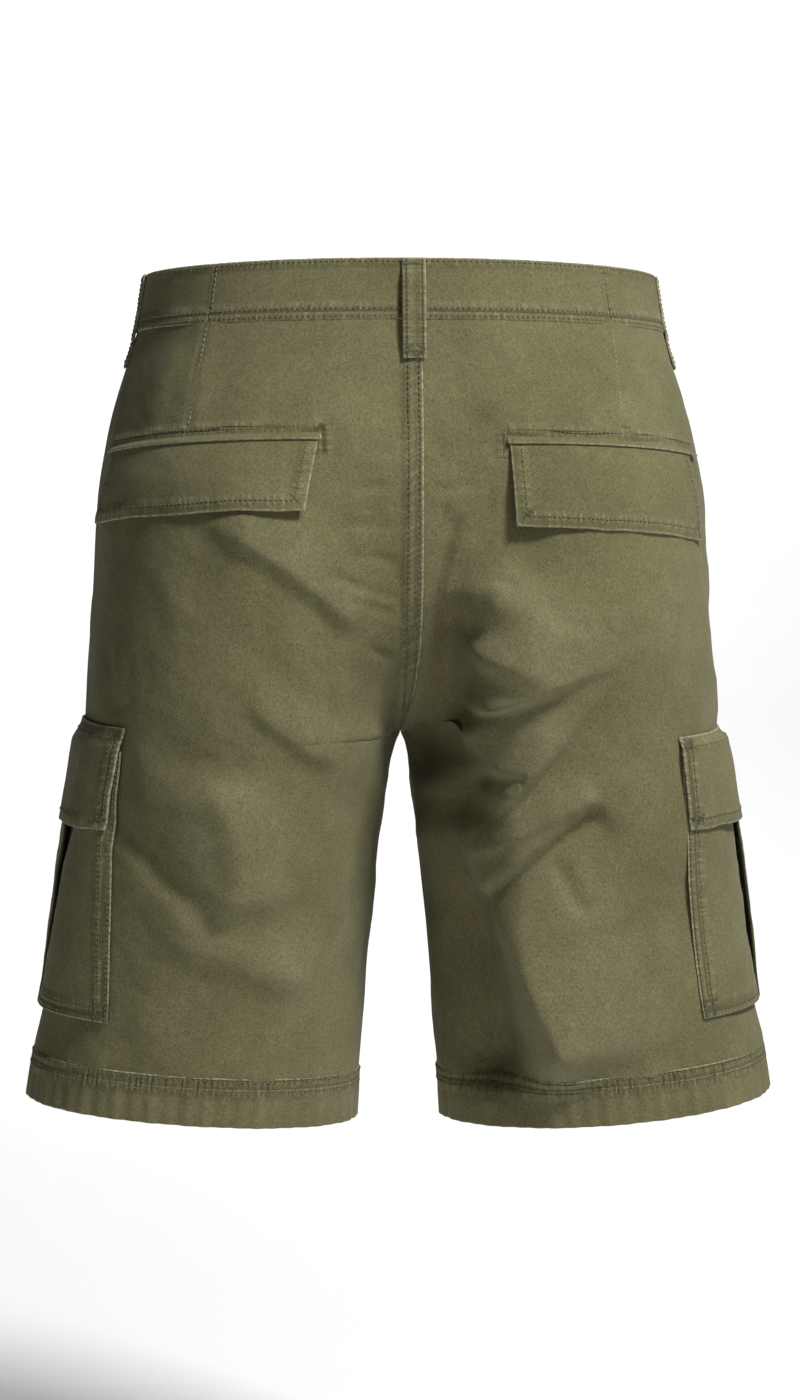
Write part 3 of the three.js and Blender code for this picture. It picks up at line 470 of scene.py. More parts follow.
def marks(edge, hollow, *rows):
    """What a finish reads at each grid place: how far it is to the piece's edge, how much painted shading
    it takes (painted shade where the cloth is sunk, painted highlight where it is raised), and from the
    rows' pairs (distance to a stitch row, distance along it) those of the nearest row."""
    shape = edge.shape
    off, run = np.full(shape, FAR), np.zeros(shape)
    for distance, along in rows:
        distance, along = np.broadcast_to(distance, shape), np.broadcast_to(along, shape)
        run = np.where(np.abs(distance) < off, along, run)
        off = np.minimum(off, np.abs(distance))
    return {"row_off": off, "row_run": run, "edge": edge, "hollow": np.broadcast_to(hollow, shape)}


# Materials


class Shade:
    """A number or socket in a material. Python's operators on it add Math nodes."""

    def __init__(self, tree, socket):
        self.tree = tree
        self.socket = socket

    def node(self, kind, settings=None, out=0, **inputs):
        """Adds a node of this type, sets its settings, then its inputs by name or number."""
        made = self.tree.nodes.new(kind)
        for name, value in (settings or {}).items():
            setattr(made, name, value)
        for name, value in inputs.items():
            target = made.inputs[int(name[1:])] if name[0] == "_" else made.inputs[name.replace("_", " ")]
            if isinstance(value, Shade):
                self.tree.links.new(value.socket, target)
            else:
                target.default_value = value
        return Shade(self.tree, made.outputs[out])

    def math(self, operation, *others, **settings):
        inputs = {f"_{k}": value for k, value in enumerate(others)}
        return self.node("ShaderNodeMath", {"operation": operation, **settings}, **inputs)

    def __add__(self, other):
        return self.math("ADD", self, other)

    def __sub__(self, other):
        return self.math("SUBTRACT", self, other)

    def __rsub__(self, other):
        return self.math("SUBTRACT", other, self)

    def __mul__(self, other):
        return self.math("MULTIPLY", self, other)

    def __truediv__(self, other):
        return self.math("DIVIDE", self, other)

    __radd__ = __add__
    __rmul__ = __mul__

    def clamped(self):
        return self.math("ADD", self, 0.0, use_clamp=True)

    def step(self, low, high):
        """0 below low, 1 above high, soft between. low may be the greater, to fall instead."""
        t = ((self - low) / (high - low)).clamped()
        return t * t * (3.0 - t * 2.0)

    def noise(self, scale, detail=2.0, roughness=0.5, distortion=0.0):
        """Noise over this vector, from 0 to 1."""
        inputs = {"Scale": scale, "Detail": detail, "Roughness": roughness, "Distortion": distortion}
        return self.node("ShaderNodeTexNoise", Vector=self, **inputs)

    def mixed(self, first, second):
        """Two colours mixed by this factor."""
        return self.node("ShaderNodeMix", {"data_type": "RGBA"}, out=2, _0=self, _6=first, _7=second)


def new_material(name, roughness, sheen=0.0, specular=0.15):
    """A material with its Principled shader's constants set, a Shade to build nodes from and the place
    on the object."""
    material = bpy.data.materials.new(name)
    material.use_nodes = True
    constants = {
        "Roughness": roughness,
        "Sheen Weight": sheen,
        "Sheen Roughness": 0.6,
        "Specular IOR Level": specular,
    }
    for socket, value in constants.items():
        material.node_tree.nodes["Principled BSDF"].inputs[socket].default_value = value
    s = Shade(material.node_tree, None)
    return material, s, s.node("ShaderNodeTexCoord", out="Object")


def feed(material, colour, relief=None, roughness=None):
    """Links a material's varying values to its shader. The relief is in metres, and goes through a
    Bump node. Returns the material."""
    shader = material.node_tree.nodes["Principled BSDF"]
    values = {"Base Color": colour, "Roughness": roughness}
    if relief:
        values["Normal"] = relief.node("ShaderNodeBump", Strength=1.0, Distance=1.0, Height=relief)
    for socket, value in values.items():
        if value:
            material.node_tree.links.new(value.socket, shader.inputs[socket])
    return material


def shade_of(rgb, share=1.0):
    """A colour for a socket, darkened to a share of itself."""
    return (*(share * c for c in rgb), 1.0)


def twill_material(name, look, tint=1.0):
    """Washed twill: a fine diagonal weave, mottled dye, painted shade that browns and darkens the hollows,
    painted highlight on raised folds, paler worn edges, near-black painted shade inside the pleats, and
    along each stitch row a groove darkened with painted shade, with puckers across it that are pale with
    wear on top and darkened with painted shade between."""
    material, s, place = new_material(name, 0.92, look.sheen)
    cloth_uv = s.node("ShaderNodeUVMap", {"uv_map": "UVMap"})

    def read(key):
        return s.node("ShaderNodeAttribute", {"attribute_name": key}, out="Fac")

    off, run, edge, hollow = read("row_off"), read("row_run"), read("edge"), read("hollow")
    mottle = place.noise(42.0, 4.0, 0.62)
    cloud = place.noise(13.0, 3.0, 0.55)
    grain = place.noise(820.0, 2.0, 0.75)

    # Puckers: noise along the row, stretched across it
    coordinates = s.node("ShaderNodeCombineXYZ", X=run * 0.30, Y=off * 0.055, Z=0.0)
    pucker = coordinates.noise(1.0, 2.0, 0.55)
    fine = s.node("ShaderNodeCombineXYZ", X=run * 0.62, Y=off * 0.09, Z=3.0).noise(1.0, 1.0, 0.5)
    ripple = pucker * 0.65 + fine * 0.35
    beside_row = off.step(5.0, 0.5)
    groove = off.step(0.75, 0.2)

    colour = (cloud.step(0.34, 0.66) * look.mottle).mixed(shade_of(look.cloth), shade_of(look.dark_dye_and_shade))
    # Browner: random brown patches of dye, and painted shade that browns and darkens the cloth where hollow
    # marks it sunk.
    brown = (hollow.step(0.05, 0.85) * 0.75 + cloud.step(0.5, 0.72) * 0.3).clamped() * look.brown
    colour = brown.mixed(colour, shade_of(look.brown_dye_and_shade))
    # Lighter: random pale patches of dye, and painted highlight where hollow marks the cloth raised.
    lighter = (mottle.step(0.46, 0.72) * 0.32 + hollow.step(-0.1, -0.7) * 0.3) * look.mottle
    colour = lighter.mixed(colour, shade_of(look.light_dye_and_highlight))
    raised = ripple.step(0.50, 0.62) * beside_row
    sunk = ripple.step(0.50, 0.38) * beside_row
    colour = (raised * 0.35 * look.wear).mixed(colour, shade_of(look.cloth_worn))
    # Painted shade: the valleys between puckers are darkened.
    colour = (sunk * 0.45).mixed(colour, shade_of(look.dark_dye_and_shade))
    # Painted shade: a dark line along the middle of each stitch row's groove.
    colour = (groove * 0.7).mixed(colour, shade_of(look.dark_dye_and_shade, 0.45))
    rubbed = edge.step(1.5, 0.2) * (ripple.step(0.36, 0.60) * 0.7 + 0.3)
    colour = (rubbed * look.wear).mixed(colour, shade_of(look.cloth_worn))
    # Painted shade: where hollow is above 1, inside the pocket pleats, the cloth goes near-black.
    inside_pleat = hollow.step(1.2, 4.0)
    colour = (inside_pleat * 0.85).mixed(colour, shade_of(look.dark_dye_and_shade, 0.3))
    blotch = place.noise(170.0, 3.0, 0.6)
    speck = (grain - 0.5) * look.grain + (blotch - 0.5) * 0.2 + 1.0
    speck = speck * tint
    speck = s.node("ShaderNodeCombineColor", Red=speck, Green=speck, Blue=speck)
    multiplied = {"data_type": "RGBA", "blend_type": "MULTIPLY"}
    colour = s.node("ShaderNodeMix", multiplied, out=2, _0=1.0, _6=colour, _7=speck)

    # Relief, in metres: twill lines, slub, puckers and grooves
    lines = s.node(
        "ShaderNodeTexWave",
        {"wave_type": "BANDS", "bands_direction": "DIAGONAL"},
        out="Fac",
        Vector=cloth_uv,
        Scale=26.0,
        Distortion=0.8,
        Detail=1.0,
    )
    slub = place.noise(190.0, 3.0, 0.6)
    relief = lines * 0.00003 + slub * 0.00016 + grain * 0.00008 + mottle * 0.0007
    relief = relief + ripple * beside_row * 0.0016 - groove * 0.0004
    return feed(material, colour, relief, mottle * 0.1 + 0.86)


def thread_material(name, rgb):
    """Sewing thread: two plies twisted round each other, along the stitch's own V coordinate."""
    material, s, place = new_material(name, 0.75, 0.1)
    uv = s.node("ShaderNodeUVMap", {"uv_map": "UVMap"})
    twist = s.node("ShaderNodeTexWave", {"bands_direction": "DIAGONAL"}, out="Fac", Vector=uv, Scale=30.0)
    dye = place.noise(300.0, 2.0)
    colour = (twist * 0.4 + dye * 0.4).clamped().mixed(shade_of(rgb), shade_of(rgb, 0.6))
    return feed(material, colour, twist * 0.0001)


def button_material(name, rgb):
    """Dark horn-like plastic: streaks drawn out one way, a satin shine with faint scratches."""
    material, s, place = new_material(name, 0.4, specular=0.5)
    drawn = s.node("ShaderNodeMapping", Vector=place, Scale=(1.0, 1.0, 5.0))
    streak = drawn.noise(260.0, 5.0, 0.6, 1.2)
    colour = streak.step(0.42, 0.68).mixed(shade_of(rgb), shade_of(rgb, 2.2))
    scratch = place.noise(2200.0, 2.0, 0.7)
    return feed(material, colour, scratch * 0.00002, scratch * 0.25 + 0.28)


MATERIALS = {}


def materials():
    """The finishes, made once from the panel's colours."""
    if not MATERIALS:
        look = bpy.context.scene.shorts_look
        MATERIALS["twill"] = twill_material("washed_twill", look)
        MATERIALS["band"] = twill_material("band_twill", look, 0.98)
        MATERIALS["thread"] = thread_material("olive_thread", look.thread)
        MATERIALS["pale_thread"] = thread_material("pale_thread", look.pale_thread)
        MATERIALS["button"] = button_material("horn_button", look.button)
    return MATERIALS


def finish_piece(obj, node, finish="twill", slot="twill"):
    """The piece takes a CAD node's place and its finish. slot is not used."""
    obj.data.materials.append(materials()[finish])
    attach(obj, "root")
    if node:
        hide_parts(node)
    return obj


# Stitching

# Each seam's stitches, sewn while the pieces are made and turned into thread at the end
SEAMS = ("seat", "band", "back_pocket", "cargo", "hem", "loop", "front", "dart_and_join")
STITCHES = {name: [] for name in SEAMS}


def sew(seam, places, out, pitch=3.1, long=2.2, thick=0.33, sink=0.05):
    """Adds stitches along a line of places (n, 3), each with the way out of the cloth there."""
    run = running(np.linalg.norm(np.diff(places, axis=0), axis=1), 0)
    count = max(1, int(run[-1] // pitch))
    middle = (np.arange(count) + 0.5) * run[-1] / count

    def along(distance, data):
        return np.stack([np.interp(distance, run, data[:, k]) for k in range(3)], -1)

    start, end = along(middle - long / 2, places), along(middle + long / 2, places)
    normal = unit(along(middle, out))
    lift = normal * (thick - sink)
    STITCHES[seam].append((start + lift, end + lift, normal, np.full(count, thick)))


def stitch_object(name, group, finish):
    """Every stitch is a six-sided thread that dips into the cloth at both ends: rings at shares
    0, 0.2, 0.5, 0.8 and 1 of its length, with radius and height by an arch."""
    start, end, normal, thick = (np.concatenate(parts) for parts in zip(*group))
    axis = unit(end - start)
    across = unit(np.cross(axis, normal))
    up = np.cross(across, axis)
    share = np.array([0.0, 0.2, 0.5, 0.8, 1.0])
    arch = np.array([-1.5, -0.15, 0.15, -0.15, -1.5])
    swell = np.array([0.35, 0.9, 1.0, 0.9, 0.35])
    angle = np.arange(6) / 6 * 2 * np.pi
    centre = start[:, None] + (end - start)[:, None] * share[None, :, None]
    centre = centre + up[:, None] * (arch[None, :, None] * thick[:, None, None])
    turned = np.stack([np.cos(angle), np.sin(angle)])[..., None]
    ring = across[:, None, None] * turned[0] + up[:, None, None] * turned[1]
    points = centre[:, :, None] + ring * (thick[:, None, None, None] * swell[None, :, None, None])
    count = len(start)
    base = np.arange(count)[:, None, None] * 30
    k, a = np.meshgrid(np.arange(4), np.arange(6), indexing="ij")
    b = (a + 1) % 6
    quads = np.stack([k * 6 + a, k * 6 + b, (k + 1) * 6 + b, (k + 1) * 6 + a], -1)
    caps = np.array([[0, 5, 4, 3], [0, 3, 2, 1], [24, 25, 26, 27], [24, 27, 28, 29]])
    quads = np.concatenate([quads.reshape(-1, 4), caps])[None] + base
    uvs = np.stack([(quads % 6) * 2.0, (quads // 6 % 5) * 6.0], -1).reshape(-1, 4, 2)
    obj = mesh_object(name, points.reshape(-1, 3), quads.reshape(-1, 4), uvs, {}, 80)
    return finish_piece(obj, None, finish)


def sew_on(seam, side, half, d, z, height, **how):
    """A stitch row along (d, z) at a height above the folded cloth."""
    place, out, _ = cloth(side, half, d, z)
    sew(seam, place + out * np.asarray(height)[..., None], out, **how)


def bar_tack(seam, centre, along, out, width, thick=0.3, apart=0.75):
    """A close row of stitches side by side: the short dense bar that ends a seam."""
    count = max(3, int(width / apart))
    offsets = (np.arange(count) - (count - 1) / 2) * apart
    middle = centre + offsets[:, None] * along
    across = unit(np.cross(out, along)) * 1.1
    lift = out * (thick * 0.6)
    tilt = along * 0.3
    start, end = middle - across - tilt + lift, middle + across + tilt + lift
    STITCHES[seam].append((start, end, np.broadcast_to(out, middle.shape), np.full(count, thick)))


def layered(name, place, out, middle, thick, u, v, values, finish=("twill", "twill"), ring=False):
    """A finished piece whose face and lining lie half its thickness each side of its middle, which is
    a height above the cloth. Returns the piece and its face."""
    face = place + out * (middle + thick / 2)[..., None]
    lining = place + out * (middle - thick / 2)[..., None]
    return finish_piece(wall(name, face, lining, u, v, values, ring), name, *finish), face


def nearest(lines, value):
    """The number of the grid line nearest to a value."""
    return int(np.argmin(np.abs(lines - value)))


# Panels

PANEL_TOP = -BAND_DEPTH + 3.0
PANEL_END = HEM_Z + HEM_DEPTH - 2.0
TWILL = 1.0
SEAT_ROWS = ((-2.6, 0.95), (3.5, 0.5))  # distances from the seat seam, and heights
FLY_ROW, FLY_TURN = 38.0, 36.0
FLY_LOW = -150


def lap_share(z):
    """How much of the seat or fly seam's lap is left: all of it, gone at the crotch."""
    return smooth((z - CROTCH_Z) / 30)


def dart_line(side, z):
    """Where the back dart lies: distance from the centre back at level z."""
    slant = 0.16 if side == LEFT else 0.02
    return 122.0 + (-36 - z) * slant


def panel_grid(side, half):
    """Grid places of a panel: close columns on the lap, then to where the cloth runs sideways, then
    to the side seam; rows about 2 mm apart, closer by the crotch."""
    z = stops(
        (PANEL_TOP, -90, 28), (-90, -244, 82), (-244, -266, 14), (-266, CROTCH_Z, 9),
        (CROTCH_Z - 0.01, -284, 9), (-284, -306, 13), (-306, PANEL_END, 80),
    )
    start = mix(GAP / 2, -LAP if side > 0 else LAP + GAP, lap_share(z))
    lapped = np.maximum(start + (2 * LAP if side > 0 else 2.0), start + 1.0)
    bend = np.maximum(rings(z)[3][0 if half > 0 else 1], 30)
    end = length_of(half, z) - GAP / 2
    a = stops((0, 1, 10))[None] * (lapped - start)[:, None] + start[:, None]
    b = stops((0, 1, 16))[None] * (bend - lapped)[:, None] + lapped[:, None]
    c = stops((0, 1, 78))[None] * (end - bend)[:, None] + bend[:, None]
    d = np.concatenate([a[:, :-1], b[:, :-1], c], 1).T
    return d, np.broadcast_to(z, d.shape)


def back_details(side, d, z, bump):
    """Adds to a back panel's relief the ridge sewn along its pocket and the dart, which is a groove in
    a low swelling. Returns the relief and the stitch rows there."""
    pocket = BACK_POCKETS[0 if side > 0 else 1]
    part = (d - pocket["inner"]) / (pocket["outer"] - pocket["inner"])
    over = z - (mix(pocket["top"], pocket["outer_top"], part) + bow(clamp01(part)))
    ridge = smooth(over / 0.9) * smooth((3.4 - over) / 1.6)
    bump = bump + 0.6 * (ridge * smooth(part * 40 + 1) * smooth((1.01 - part) * 40))
    rows = [(np.where((part > -0.02) & (part < 1), over - 1.7, FAR), d + 900)]
    on_bar = (z > pocket["top"] - BAR_LENGTH) & (z < pocket["top"] + 1)
    rows += [(np.where(on_bar, d - pocket["inner"] - k, FAR), z + 700) for k in BAR_ROWS]
    dart = d - dart_line(side, z)
    on_dart = (z > -97) & (z < -30)
    sunk = 1.1 * np.exp(-((dart / 9) ** 2)) - 1.1 * np.exp(-((dart / 1.5) ** 2))
    rows.append((np.where(on_dart, np.abs(dart) + 2.8, FAR), z))
    return bump + np.where(on_dart, sunk, 0), rows


def panel(side, half, name):
    """A back or front panel: the folded cloth, crumpled a little, drawn in at its side seam, gathered
    into its hem, with its lapped seam. The back's cloth runs straight across the lap."""
    d, z = panel_grid(side, half)
    place, out, rise = cloth(side, half, d, z)
    if half == BACK:
        bridge = LAP * lap_share(z)
        near = np.abs(d) < bridge
        a, b = cloth(side, half, -bridge, z), cloth(side, half, bridge, z)
        t = clamp01((d / np.maximum(bridge, 1e-6) + 1) / 2)[..., None]
        place = np.where(near[..., None], mix(a[0], b[0], t), place)
        out = np.where(near[..., None], unit(mix(a[1], b[1], t)), out)
    length = length_of(half, z)
    to_side = length - d
    seed = 11 + (3 if side > 0 else 0) + (7 if half > 0 else 0)
    bump = crumple(to_side, z, seed, near=24.0, far=90.0) * 1.3
    bump = bump + crumple(to_side, z, seed + 50, near=7.0, far=22.0) * 0.2
    bump = bump * smooth(to_side / 25) * smooth(np.abs(d) / 14 + 0.2) * smooth((-34 - z) / 22)
    bump = bump - 0.5 * np.exp(-to_side / 1.6)
    gathers = np.sin(d / 1.25 + np.sin(d / 11)) + np.sin(d / 2.1 + 2) + 0.8 * np.sin(d / 3.3 + 0.1 * z)
    bump = bump + 0.22 * gathers * smooth((PANEL_END + 26 - z) / 26) ** 2
    lap = lap_share(z)
    rows = []
    if side > 0:
        raised = 0.95 - 0.6 * smooth((d + LAP) / (2 * LAP))
        bump = bump + np.where(d < LAP, raised * lap, 0.35 * lap * np.exp(-np.maximum(d - LAP, 0) / 1.2))
        rows += [(np.where(z < CROTCH_Z, FAR, d - off), z + d * 0.5) for off, _ in SEAT_ROWS]
    if half == BACK:
        bump, details = back_details(side, d, z, bump)
        rows += details
    edge = np.full(d.shape, 9.0)
    if side > 0:
        edge = np.where(z < CROTCH_Z, 9.0, np.minimum(edge, d + LAP))
    # Painted shade in the folds' troughs and dips, painted highlight on their crests, from how far the
    # cloth is sunk or raised.
    values = marks(edge, np.clip(-(rise + bump * 0.6) / 8.0, -1, 1), *rows)
    face = place + out * bump[..., None]
    lining = place + out * (bump - TWILL)[..., None]
    return finish_piece(wall(name, face, lining, d, z, values), name)


class SHORTS_OT_panels(Operator):
    """Build the two back and two front panels, with the seat seam's stitching"""

    bl_idname = "shorts.panels"
    bl_label = "Panels"

    def execute(self, context):
        for word, side in SIDES:
            back = panel(side, BACK, f"back_panel_{word}")
            front = panel(side, FRONT, f"front_panel_{word}")
        z = np.linspace(-38, -270, 200)
        for off, height in SEAT_ROWS:
            self.seat_row(off, height, z)
        fly = np.linspace(-40, FLY_LOW, 90)
        sew_on("front", LEFT, FRONT, np.full(fly.shape, FLY_ROW), fly, 0.1)
        turn = np.linspace(0, np.pi / 2, 30)
        d = FLY_ROW - FLY_TURN + FLY_TURN * np.cos(turn)
        sew_on("front", LEFT, FRONT, d, FLY_LOW - 34 * np.sin(turn), 0.1)
        dart = np.linspace(-37, -94, 40)
        for _, side in SIDES:
            sew_on("dart_and_join", side, BACK, dart_line(side, dart) - 0.6, dart, 0.25, thick=0.3)
        return {"FINISHED"}

    def seat_row(self, off, height, z):
        """A row beside the seat seam, on the straight line from one edge of the lap to the other."""
        bridge = LAP * lap_share(z)
        a, b = cloth(LEFT, BACK, -bridge, z), cloth(LEFT, BACK, bridge, z)
        t = (off / LAP + 1) / 2
        place, out = mix(a[0], b[0], t), unit(mix(a[1], b[1], t))
        sew("seat", place + out * (height * lap_share(z))[:, None], out)


# Hems

HEM_LENGTH = 560.0
HEM_ROWS = (1.4, 8.0)
# How many puckers of each kind go round a hem, and where each kind starts
HEM_PUCKERS = ((151, 0.4), (167, 2.1), (131, 4.0), (187, 1.1))


class SHORTS_OT_hems(Operator):
    """Build the turned-up hems with their two stitch rows"""

    bl_idname = "shorts.hems"
    bl_label = "Hems"

    def execute(self, context):
        for word, side in SIDES:
            self.hem(side, f"hem_{word}")
        return {"FINISHED"}

    def hem(self, side, name):
        """A ring of two layers, puckered between its two rows of stitches."""
        count = 420
        share = np.arange(count + 1) / count
        v = edged(HEM_DEPTH, 1.5, 1.1)
        z = (HEM_Z + HEM_DEPTH - v)[None] + 0 * share[:, None]
        back, front = length_of(BACK, z), length_of(FRONT, z)
        run = share[:, None] * (back + front)
        half = np.where(run < back, BACK, FRONT)
        d = np.where(run < back, run, back + front - run)
        u = run * (HEM_LENGTH / (back + front))
        down = HEM_DEPTH + HEM_Z - z
        edge = np.minimum(down, HEM_DEPTH - down)
        phase = u / HEM_LENGTH * 2 * np.pi
        rough = sum(np.sin(phase * k + p) for k, p in HEM_PUCKERS) / 4
        zone = smooth(down / 2.0 + 0.4) * smooth((12.5 - down) / 4)
        bump = 1.1 * rough * zone * (0.8 + 0.2 * np.sin(phase * 7 + 1) * np.sin(phase * 11))
        drape = np.sin(phase * 19 + 2 * np.sin(phase * 3)) + np.sin(phase * 53)
        bump = bump + 0.35 * drape * smooth((down - 6) / 8)
        place, out, rise = cloth(side, half, d, z)
        thick = 2.2 * rounded(edge, 1.1)
        middle = 0.5 - 1.1 + bump
        # Painted shade where folds and puckers sink the hem, painted highlight where they raise it.
        hollow = np.clip(-rise / 8 - bump, -1, 1)
        values = marks(edge + 0.45, hollow, (down - HEM_ROWS[0], u), (down - HEM_ROWS[1], u + 700))
        values = {key: numbers[:-1] for key, numbers in values.items()}
        around = (grid[:-1] for grid in (place, out, middle, thick))
        obj, _ = layered(name, *around, u, z, values, ring=True)
        for depth in HEM_ROWS:
            line = np.full(count + 1, HEM_Z + HEM_DEPTH - depth)
            k = nearest(v, depth)
            sew_on("hem", side, half[:, k], d[:, k], line, bump[:, k] + 0.55)


# Waistband

BAND_JOIN = 116
BAND_LAP = 14
BAND_UNDERLAP = 24
BAND_WALL = 2.4
BAND_ROWS = (1.9, 28.4, 32.8)
BAND_FINISH = ("band", "band_twill")


class SHORTS_OT_band(Operator):
    """Build the waistband's three pieces, the fly shield and the button"""

    bl_idname = "shorts.band"
    bl_label = "Waistband"

    def execute(self, context):
        self.piece("band_back", LEFT, -BAND_JOIN, BAND_JOIN, (0.234, 0.036))
        self.piece("band_left", LEFT, BAND_JOIN + GAP, HALF_RUN + BAND_LAP, (0.320, 0.036))
        self.piece("band_right", RIGHT, BAND_JOIN + GAP, HALF_RUN + BAND_UNDERLAP, (0.330, 0.036))
        self.shield()
        self.button()
        return {"FINISHED"}

    def piece(self, name, side, start, end, flat):
        """A folded strip, eased over its seams: the back piece between its joins, or a side piece."""
        lines = start + edged(end - start, 1.6, 1.0)
        v = edged(BAND_DEPTH, 1.4, 1.2)
        distance, down = np.meshgrid(lines, v, indexing="ij")
        z = -down
        half, d = round_band(distance, z)
        place, out, _ = cloth(side, half, d, z)
        to_join = np.minimum(distance - start, end - distance)
        edge = np.minimum(down, BAND_DEPTH - down)
        seed = 5 if side > 0 else 6
        bump = 0.16 * crumple(distance, z, seed, near=9, far=40)
        by_rows = 0.14 * crumple(distance, z * 0.15, seed + 1, near=4.5, far=9) * smooth((down - 25) / 3)
        by_edge = 0.12 * crumple(distance, z * 0.2, seed + 2, near=5, far=9) * smooth((6 - down) / 4)
        bump = bump + by_rows + by_edge
        bump = bump - 0.4 * np.exp(-to_join / 0.9)
        under = 0.0
        if side == RIGHT:
            under = -(BAND_WALL + GAP) * smooth((distance - (HALF_RUN - BAND_LAP - 32)) / 26)
        thick = BAND_WALL * rounded(edge, 1.2)
        middle = BAND_PROUD - BAND_WALL / 2 + bump + under
        rows = [(down - depth, distance + 300 * k) for k, depth in enumerate(BAND_ROWS)]
        # Painted shade in the band's dips and at its joins, painted highlight on its bumps.
        values = marks(edge + 0.15, np.clip(-bump, -1, 1), *rows, (to_join + 2.2, z))
        obj, _ = layered(name, place, out, middle, thick, distance, z, values, BAND_FINISH)
        for depth in BAND_ROWS:
            k = nearest(v, depth)
            keep = slice(4, -4)
            height = (middle + thick / 2)[keep, k]
            sew_on("band", side, half[keep, k], d[keep, k], np.full(lines[keep].shape, -depth), height)
        if name == "band_back":
            for place_at in (-BAND_JOIN + 1.6, BAND_JOIN - 1.6):
                level = np.linspace(-2, -33, 24)
                half, d = round_band(np.full(24, place_at), level)
                sew_on("dart_and_join", side, half, d, level, BAND_PROUD, thick=0.2)

    def shield(self):
        """The strip behind the fly opening."""
        u, v = np.meshgrid(np.linspace(0, 1, 14), np.linspace(0, 1, 40), indexing="ij")
        z = mix(-38.0, -186.0, v)
        d = mix(-24.0, 18 * (1 - 0.5 * v * v), u)
        place, out, _ = cloth(LEFT, FRONT, d, z)
        values = marks(np.minimum(d + 24, 30) + 0.2, 0.0)
        face, lining = place - out * 1.7, place - out * 2.8
        obj = finish_piece(wall("fly_shield", face, lining, d, z, values), "fly_shield")

    def button(self):
        """The CAD button keeps its shape and gets its horn finish, its thread and a worked hole."""
        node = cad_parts["waist_button"]
        for slot in node.material_slots:
            slot.material = materials()["button"]
        distance, z = HALF_RUN + 3, -BAND_DEPTH / 2
        half, d = round_band(np.array([distance]), np.array([z]))
        place, out, _ = cloth(LEFT, half, d, np.array([z]))
        place, out = place[0] + out[0] * BAND_PROUD, out[0]
        up = unit(np.array([0, 0, 1.0]) - out * out[2])
        along = np.cross(up, out)
        top = place + out * 2.75
        for a, b in (((-1, -1), (1, 1)), ((-1, 1), (1, -1))):
            start = top + (along * a[0] + up * a[1]) * 1.9
            end = top + (along * b[0] + up * b[1]) * 1.9
            ends = np.array([start, end])
            STITCHES["front"].append((ends[:1], ends[1:], out[None], np.array([0.55])))
        turn = np.linspace(0, 2 * np.pi, 90, endpoint=False)
        stadium = np.stack([np.clip(np.cos(turn) * 12.5, -8.5, 8.5), np.sin(turn) * 2.1], -1)
        hole = place + stadium[:, :1] * along + stadium[:, 1:] * up
        way = unit(stadium[:, :1] * along * 0.2 + np.sign(stadium[:, 1:] + 1e-9) * up)
        normal = np.broadcast_to(out, hole.shape)
        lift = out * 0.15
        start, end = hole - way * 0.9 + lift, hole + way * 0.9 + lift
        STITCHES["front"].append((start, end, normal, np.full(90, 0.28)))


# Belt loops

LOOP_WIDTH = 13.5
LOOP_FOOT = -57
LOOP_TACK = -53
LOOP_ROW = 4.4
# Down a loop: levels, and how far it stands off the cloth there
LOOP_LINE = np.array([
    (-0.6, 0.1), (-3, 0.0), (-6, 0.0), (-9, 0.9), (-12, 1.8), (-19, 2.2), (-28, 2.2),
    (-36, 2.1), (-43, 2.0), (-48, 1.3), (-51.5, 0.25), (-54, 0.0), (LOOP_FOOT, 0.0),
])


class SHORTS_OT_loops(Operator):
    """Build the five belt loops with their edge rows and bar tacks"""

    bl_idname = "shorts.loops"
    bl_label = "Belt loops"

    def execute(self, context):
        self.loop("belt_loop_back", LEFT, 0, 0.8, 1.0)
        for word, side in SIDES:
            self.loop(f"belt_loop_side_{word}", side, BACK_RUN - 8, 0.0, 0.0)
            self.loop(f"belt_loop_front_{word}", side, HALF_RUN - 84, 0.0, 1.0)
        return {"FINISHED"}

    def loop(self, name, side, distance, seam, slack):
        """A strip carried along its line: foot on the band, off the cloth, foot on the panel. seam is how
        high the seam under it is, slack the share of its line's height that it stands off."""
        z = stops((-0.6, LOOP_FOOT, 56))
        off = slack * np.interp(-z, -LOOP_LINE[:, 0], LOOP_LINE[:, 1])
        kernel = np.array([1, 2, 3, 2, 1]) / 9
        off = np.convolve(np.pad(off, 2, mode="edge"), kernel, mode="valid")
        on_band = smooth((z + 41) / 4)
        base = 0.35 * slack + mix(seam, np.maximum(seam, BAND_PROUD), on_band) + off
        across = edged(LOOP_WIDTH, 1.2, 0.8) - LOOP_WIDTH / 2
        offset, level = np.meshgrid(across, z, indexing="ij")
        half, d = round_band(distance + offset, level)
        if distance == 0:
            half, d = np.full(d.shape, BACK), offset
        place, out, _ = cloth(side, half, d, level)
        to_end = np.minimum(-0.6 - level, level - LOOP_FOOT)
        edge = np.minimum(LOOP_WIDTH / 2 - np.abs(offset), to_end + 0.05)
        crown = 0.12 * crumple(offset, level, len(name), near=4, far=10)
        thick = 1.7 * rounded(edge, 0.8)
        middle = base[None] + 0.85 + crown
        rows = (np.abs(offset) - LOOP_ROW, level), (level - LOOP_TACK, offset + 90)
        values = marks(edge + 0.1, 0.0, *rows)
        obj, face = layered(name, place, out, middle, thick, offset, level, values, BAND_FINISH)
        for x in (-LOOP_ROW, LOOP_ROW):
            line = nearest(across, x), slice(2, -3)
            sew("loop", face[line], out[line], pitch=2.6, long=2.0, thick=0.24)
        column = len(across) // 2
        for row in (3, nearest(z, LOOP_TACK)):
            side_way = unit(face[column + 1, row] - face[column - 1, row])
            bar_tack("loop", face[column, row], side_way, out[column, row], LOOP_WIDTH - 2.5)


# Back pockets

